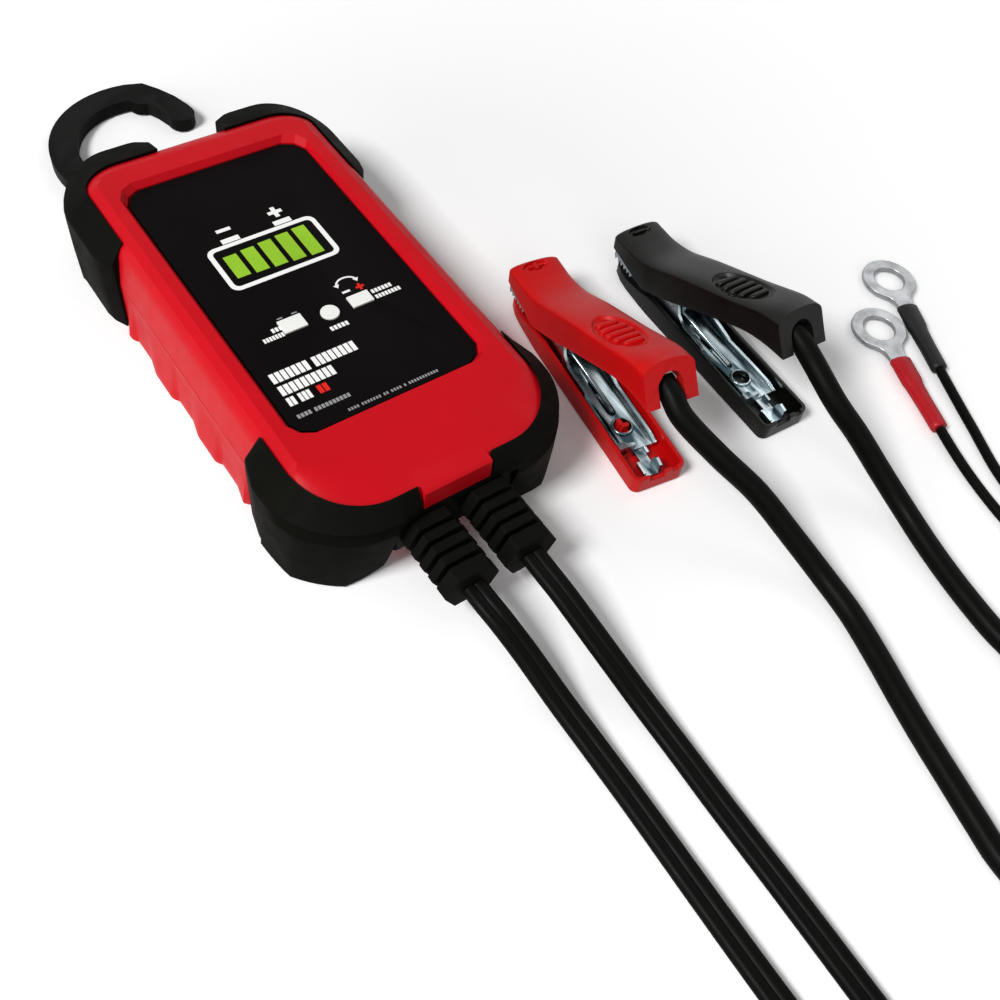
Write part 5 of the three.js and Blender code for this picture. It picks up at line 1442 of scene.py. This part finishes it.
def printed(name, outline, ink, hole=None):
    """A thin flat mark on the label."""
    z = LABEL["top"]
    mark = from_plan("mark_" + name, outline, z - PRINT_SINK, z + PRINT_RISE)
    if hole:
        mark = cut(mark, from_plan("hole", hole, z - 1, z + 1))
    inked(mark, ink)


def cross(x, y, reach, half):
    """A plus sign about (x, y)."""
    points = []
    for c, s in ((1, 0), (0, 1), (-1, 0), (0, -1)):
        arm = [(half, half), (half, reach), (-half, reach)]
        points += [(x + c * u - s * v, y + s * u + c * v) for u, v in arm]
    return points


# The faces of a block, by its four lower and four upper corners, and the gap between groups of blocks.
BLOCK_FACES = ((3, 2, 1, 0), (4, 5, 6, 7), (0, 1, 5, 4), (1, 2, 6, 5), (2, 3, 7, 6), (3, 0, 4, 7))
GROUP_GAP = 0.7


def block_row(name, x0, y0, x1, y1, groups, ink, share):
    """Plain blocks in groups. The groups say how many blocks each has, and the share how much of a step is block."""
    step = (x1 - x0) / (sum(groups) + GROUP_GAP * (len(groups) - 1))
    z, x = LABEL["top"], x0
    points, faces = [], []
    for blocks in groups:
        for _ in range(blocks):
            faces += [tuple(len(points) + i for i in face) for face in BLOCK_FACES]
            outline = box(x, y0, x + step * share, y1)
            points += at_height(outline, z - PRINT_SINK) + at_height(outline, z + PRINT_RISE)
            x += step
        x += GROUP_GAP * step
    inked(mesh_object("mark_" + name, points, faces), ink)


BATTERY = {"x": -1.5, "y": 14, "line": 1.3, "half_width": 15.5, "half_height": 8.2, "radius": 2.4}
CHARGE = {"count": 5, "x": -13.9, "pitch": 5.1, "width": 3.7, "half_height": 4.2, "growth": 0.35}
TURN = {"x": 9, "y": -4.6, "outer": (3.1, 2.3), "inner": (2.6, 1.8), "from": 0.3}
BARS = {
    "battery_post_left": (-11.5, 22.5, -6.5, 24.2, "white"), "battery_post_right": (3.5, 22.5, 8.5, 24.2, "white"),
    "minus": (-11, 26.8, -7, 28, "white"), "pole_minus": (6.2, -7.5, 8.4, -6.8, "white"),
    "window_post_left": (-12.4, -7.5, -10.9, -7.1, "grey"), "window_post_right": (-8.4, -7.5, -6.9, -7.1, "grey"),
}
BLOCK_ROWS = {
    "left_a": (-15.4, -10.9, -12.4, -9.5, (3,), "white", 0.72),
    "left_b": (-18.7, -13.0, -13.0, -11.6, (7,), "white", 0.72),
    "middle": (-2.6, -17.2, 2.6, -15.8, (5,), "white", 0.72),
    "right_a": (12.9, -10.9, 18.9, -9.6, (6,), "white", 0.72),
    "right_b": (12.9, -13.0, 20.3, -11.7, (8,), "white", 0.72),
    "title_a": (-23, -25.4, 0.2, -22.2, (7, 8), "white", 0.78),
    "title_b": (-23, -29.6, -8.2, -26.5, (10,), "white", 0.78),
    "title_c": (-23, -33.2, -16.6, -30.5, (2, 3), "white", 0.78),
    "title_d": (-15, -33.2, -12, -30.6, (2,), "red", 0.78),
    "line_a": (-23.2, -37.3, -9, -36.1, (4, 10), "grey", 0.72),
    "line_b": (-12, -41.1, 13.2, -40.3, (4, 7, 2, 4, 1, 11), "grey", 0.6),
}


def bar(name):
    *corners, ink = BARS[name]
    printed(name, box(*corners), ink)


def make_prints():
    """A plain battery with charge bars, small signs and rows of plain blocks."""
    frames = []
    for inset in (0, BATTERY["line"]):
        corner = BATTERY["radius"] - (1 if inset else 0)
        frame_line = rounded(BATTERY["half_width"] - inset, BATTERY["half_height"] - inset, corner)
        frames.append(shifted(frame_line, BATTERY["x"], BATTERY["y"]))
    printed("battery", frames[0], "white", frames[1])
    bar("battery_post_left")
    bar("battery_post_right")
    for i in range(CHARGE["count"]):
        x, y = CHARGE["x"] + CHARGE["pitch"] * i, BATTERY["y"]
        height = CHARGE["half_height"] + CHARGE["growth"] * i
        printed("charge_%d" % i, box(x, y - height, x + CHARGE["width"], y + height), "green")
    printed("plus", cross(6, 27.4, 2.0, 0.6), "white")
    for name in ("minus", "window_post_left", "window_post_right"):
        bar(name)
    low, high = TURN["from"], math.pi - TURN["from"]
    bend = []
    for (a, b), start, end in ((TURN["outer"], low, high), (TURN["inner"], high, low)):
        bend += [(TURN["x"] + a * u, TURN["y"] + b * v) for u, v in arc(0, 0, 1, start, end, 15)]
    printed("turn", bend, "white")
    for side, name in ((-1, "left"), (1, "right")):
        x = TURN["x"] + side * 2.8
        printed("turn_end_" + name, [(x - 0.8, -4.0), (x + 0.8, -4.0), (x, -5.2)], "white")
    bar("pole_minus")
    printed("pole_plus", cross(11.3, -7.15, 1.15, 0.35), "red")
    for name, row in BLOCK_ROWS.items():
        block_row(name, *row)


make_camera()
dress_carried_nodes()
flat_cord("mains_cord", AC_ROUTE, AC_COIL, AC_END, "plug", ["ac_cord", "ac_coil", "ac_cord_end"],
          [*make_plug(), make_tie("ac_tie", AC_COIL, -math.pi * 0.6)])
flat_cord("output_cord", DC_ROUTE, DC_COIL, DC_END, "connector", ["dc_cord", "dc_coil", "dc_cord_end"],
          [make_connector("dc_connector", LINE_X, TAIL_Y["output"], 1), make_tie("dc_tie", DC_COIL, math.pi * 0.3)])
make_case_top()
make_case_bottom()
make_hook()
for end, back in (("back", True), ("front", False)):
    make_bumper("bumper_" + end + "_left", -1, back)
    make_bumper("bumper_" + end + "_right", 1, back)
make_label()
make_relief("strain_relief_ac", -RELIEF_X)
make_relief("strain_relief_dc", RELIEF_X)
clamp_end = [make_connector("clamp_connector", LINE_X, TAIL_Y["clamps"], -1)]
make_lead("red", make_clamp("red") + clamp_end)
make_lead("black", make_clamp("black"))
make_ring("red", [make_connector("ring_connector", RING_TAIL["x"], RING_TAIL["y"], -1)])
make_ring("black", [])
make_gland_plate()
make_screws()
make_prints()


# ---- stage and light ----
def make_lamp(name, place, size, energy):
    light = bpy.data.lights.new(name, "AREA")
    light.size = size
    light.energy = energy
    obj = bpy.data.objects.new(name, light)
    obj.location = place
    obj.rotation_euler = (Vector(LAMP_TARGET) - obj.location).to_track_quat("-Z", "Y").to_euler()
    scene.collection.objects.link(obj)


# Each lamp's place, size and energy, and the place that all of them face.
LAMPS = {
    "key": ((-0.68, -0.1, 0.82), 0.3, 9.0),
    "rim": ((0.75, 0.05, 0.8), 0.5, 0.8),
    "front": ((-0.25, -0.85, 0.75), 0.6, 1.5),
    "side": ((-0.95, -0.05, 0.36), 0.5, 1.6),
}
LAMP_TARGET = (0.05, -0.1, 0)
FLOOR_HALF = 2500
FLOOR_COLOUR = 0.88
# The floor that the camera sees gets paler with the distance from the origin, in metres.
PALER = {"From Min": 0.12, "From Max": 0.6, "To Min": 1.12, "To Max": 2.1}
# The world's strength on the object, and where the camera or a glossy or transmitted ray meets it.
WORLD = {"To Min": 0.2, "To Max": 1}


def make_floor():
    half = FLOOR_HALF
    floor = mesh_object("floor", at_height(box(-half, -half, half, half), 0), [(0, 1, 2, 3)])
    paper = bpy.data.materials.new("floor_paper")
    paper.use_nodes = True
    tree = paper.node_tree
    add, plain = adder(tree), tree.nodes["Principled BSDF"]
    plain.inputs["Base Color"].default_value = (FLOOR_COLOUR, FLOOR_COLOUR, FLOOR_COLOUR, 1)
    plain.inputs["Roughness"].default_value = 0.9
    plain.inputs["Specular IOR Level"].default_value = 0
    away = add("VectorMath", "Value", {0: add("NewGeometry", "Position", {})}, operation="LENGTH")
    seen = add("BsdfDiffuse", "BSDF", {"Color": add("MapRange", "Result", {**PALER, "Value": away})})
    camera = add("LightPath", "Is Camera Ray", {})
    either = add("MixShader", "Shader", {"Fac": camera, 1: plain.outputs["BSDF"], 2: seen})
    tree.links.new(either, tree.nodes["Material Output"].inputs["Surface"])
    floor.data.materials.append(paper)
    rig.stage(floor)


def make_world():
    world = bpy.data.worlds.new("studio")
    scene.world = world
    world.use_nodes = True
    tree = world.node_tree
    add, background = adder(tree), tree.nodes["Background"].inputs
    backdrop = add("LightPath", "Is Camera Ray", {})
    rays = backdrop.node.outputs
    for kind in ("Is Glossy Ray", "Is Transmission Ray"):
        backdrop = add("Math", "Value", {0: backdrop, 1: rays[kind]}, operation="MAXIMUM")
    tree.links.new(add("MapRange", "Result", {**WORLD, "Value": backdrop}), background["Strength"])
    background["Color"].default_value = (1, 1, 1, 1)


make_floor()
make_world()
for lamp_name, lamp_facts in LAMPS.items():
    make_lamp(lamp_name, *lamp_facts)
with open("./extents.json", "w") as file:
    json.dump([[list(map(float, c)) for c in box] for box in (cad_box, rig.bounds())], file)
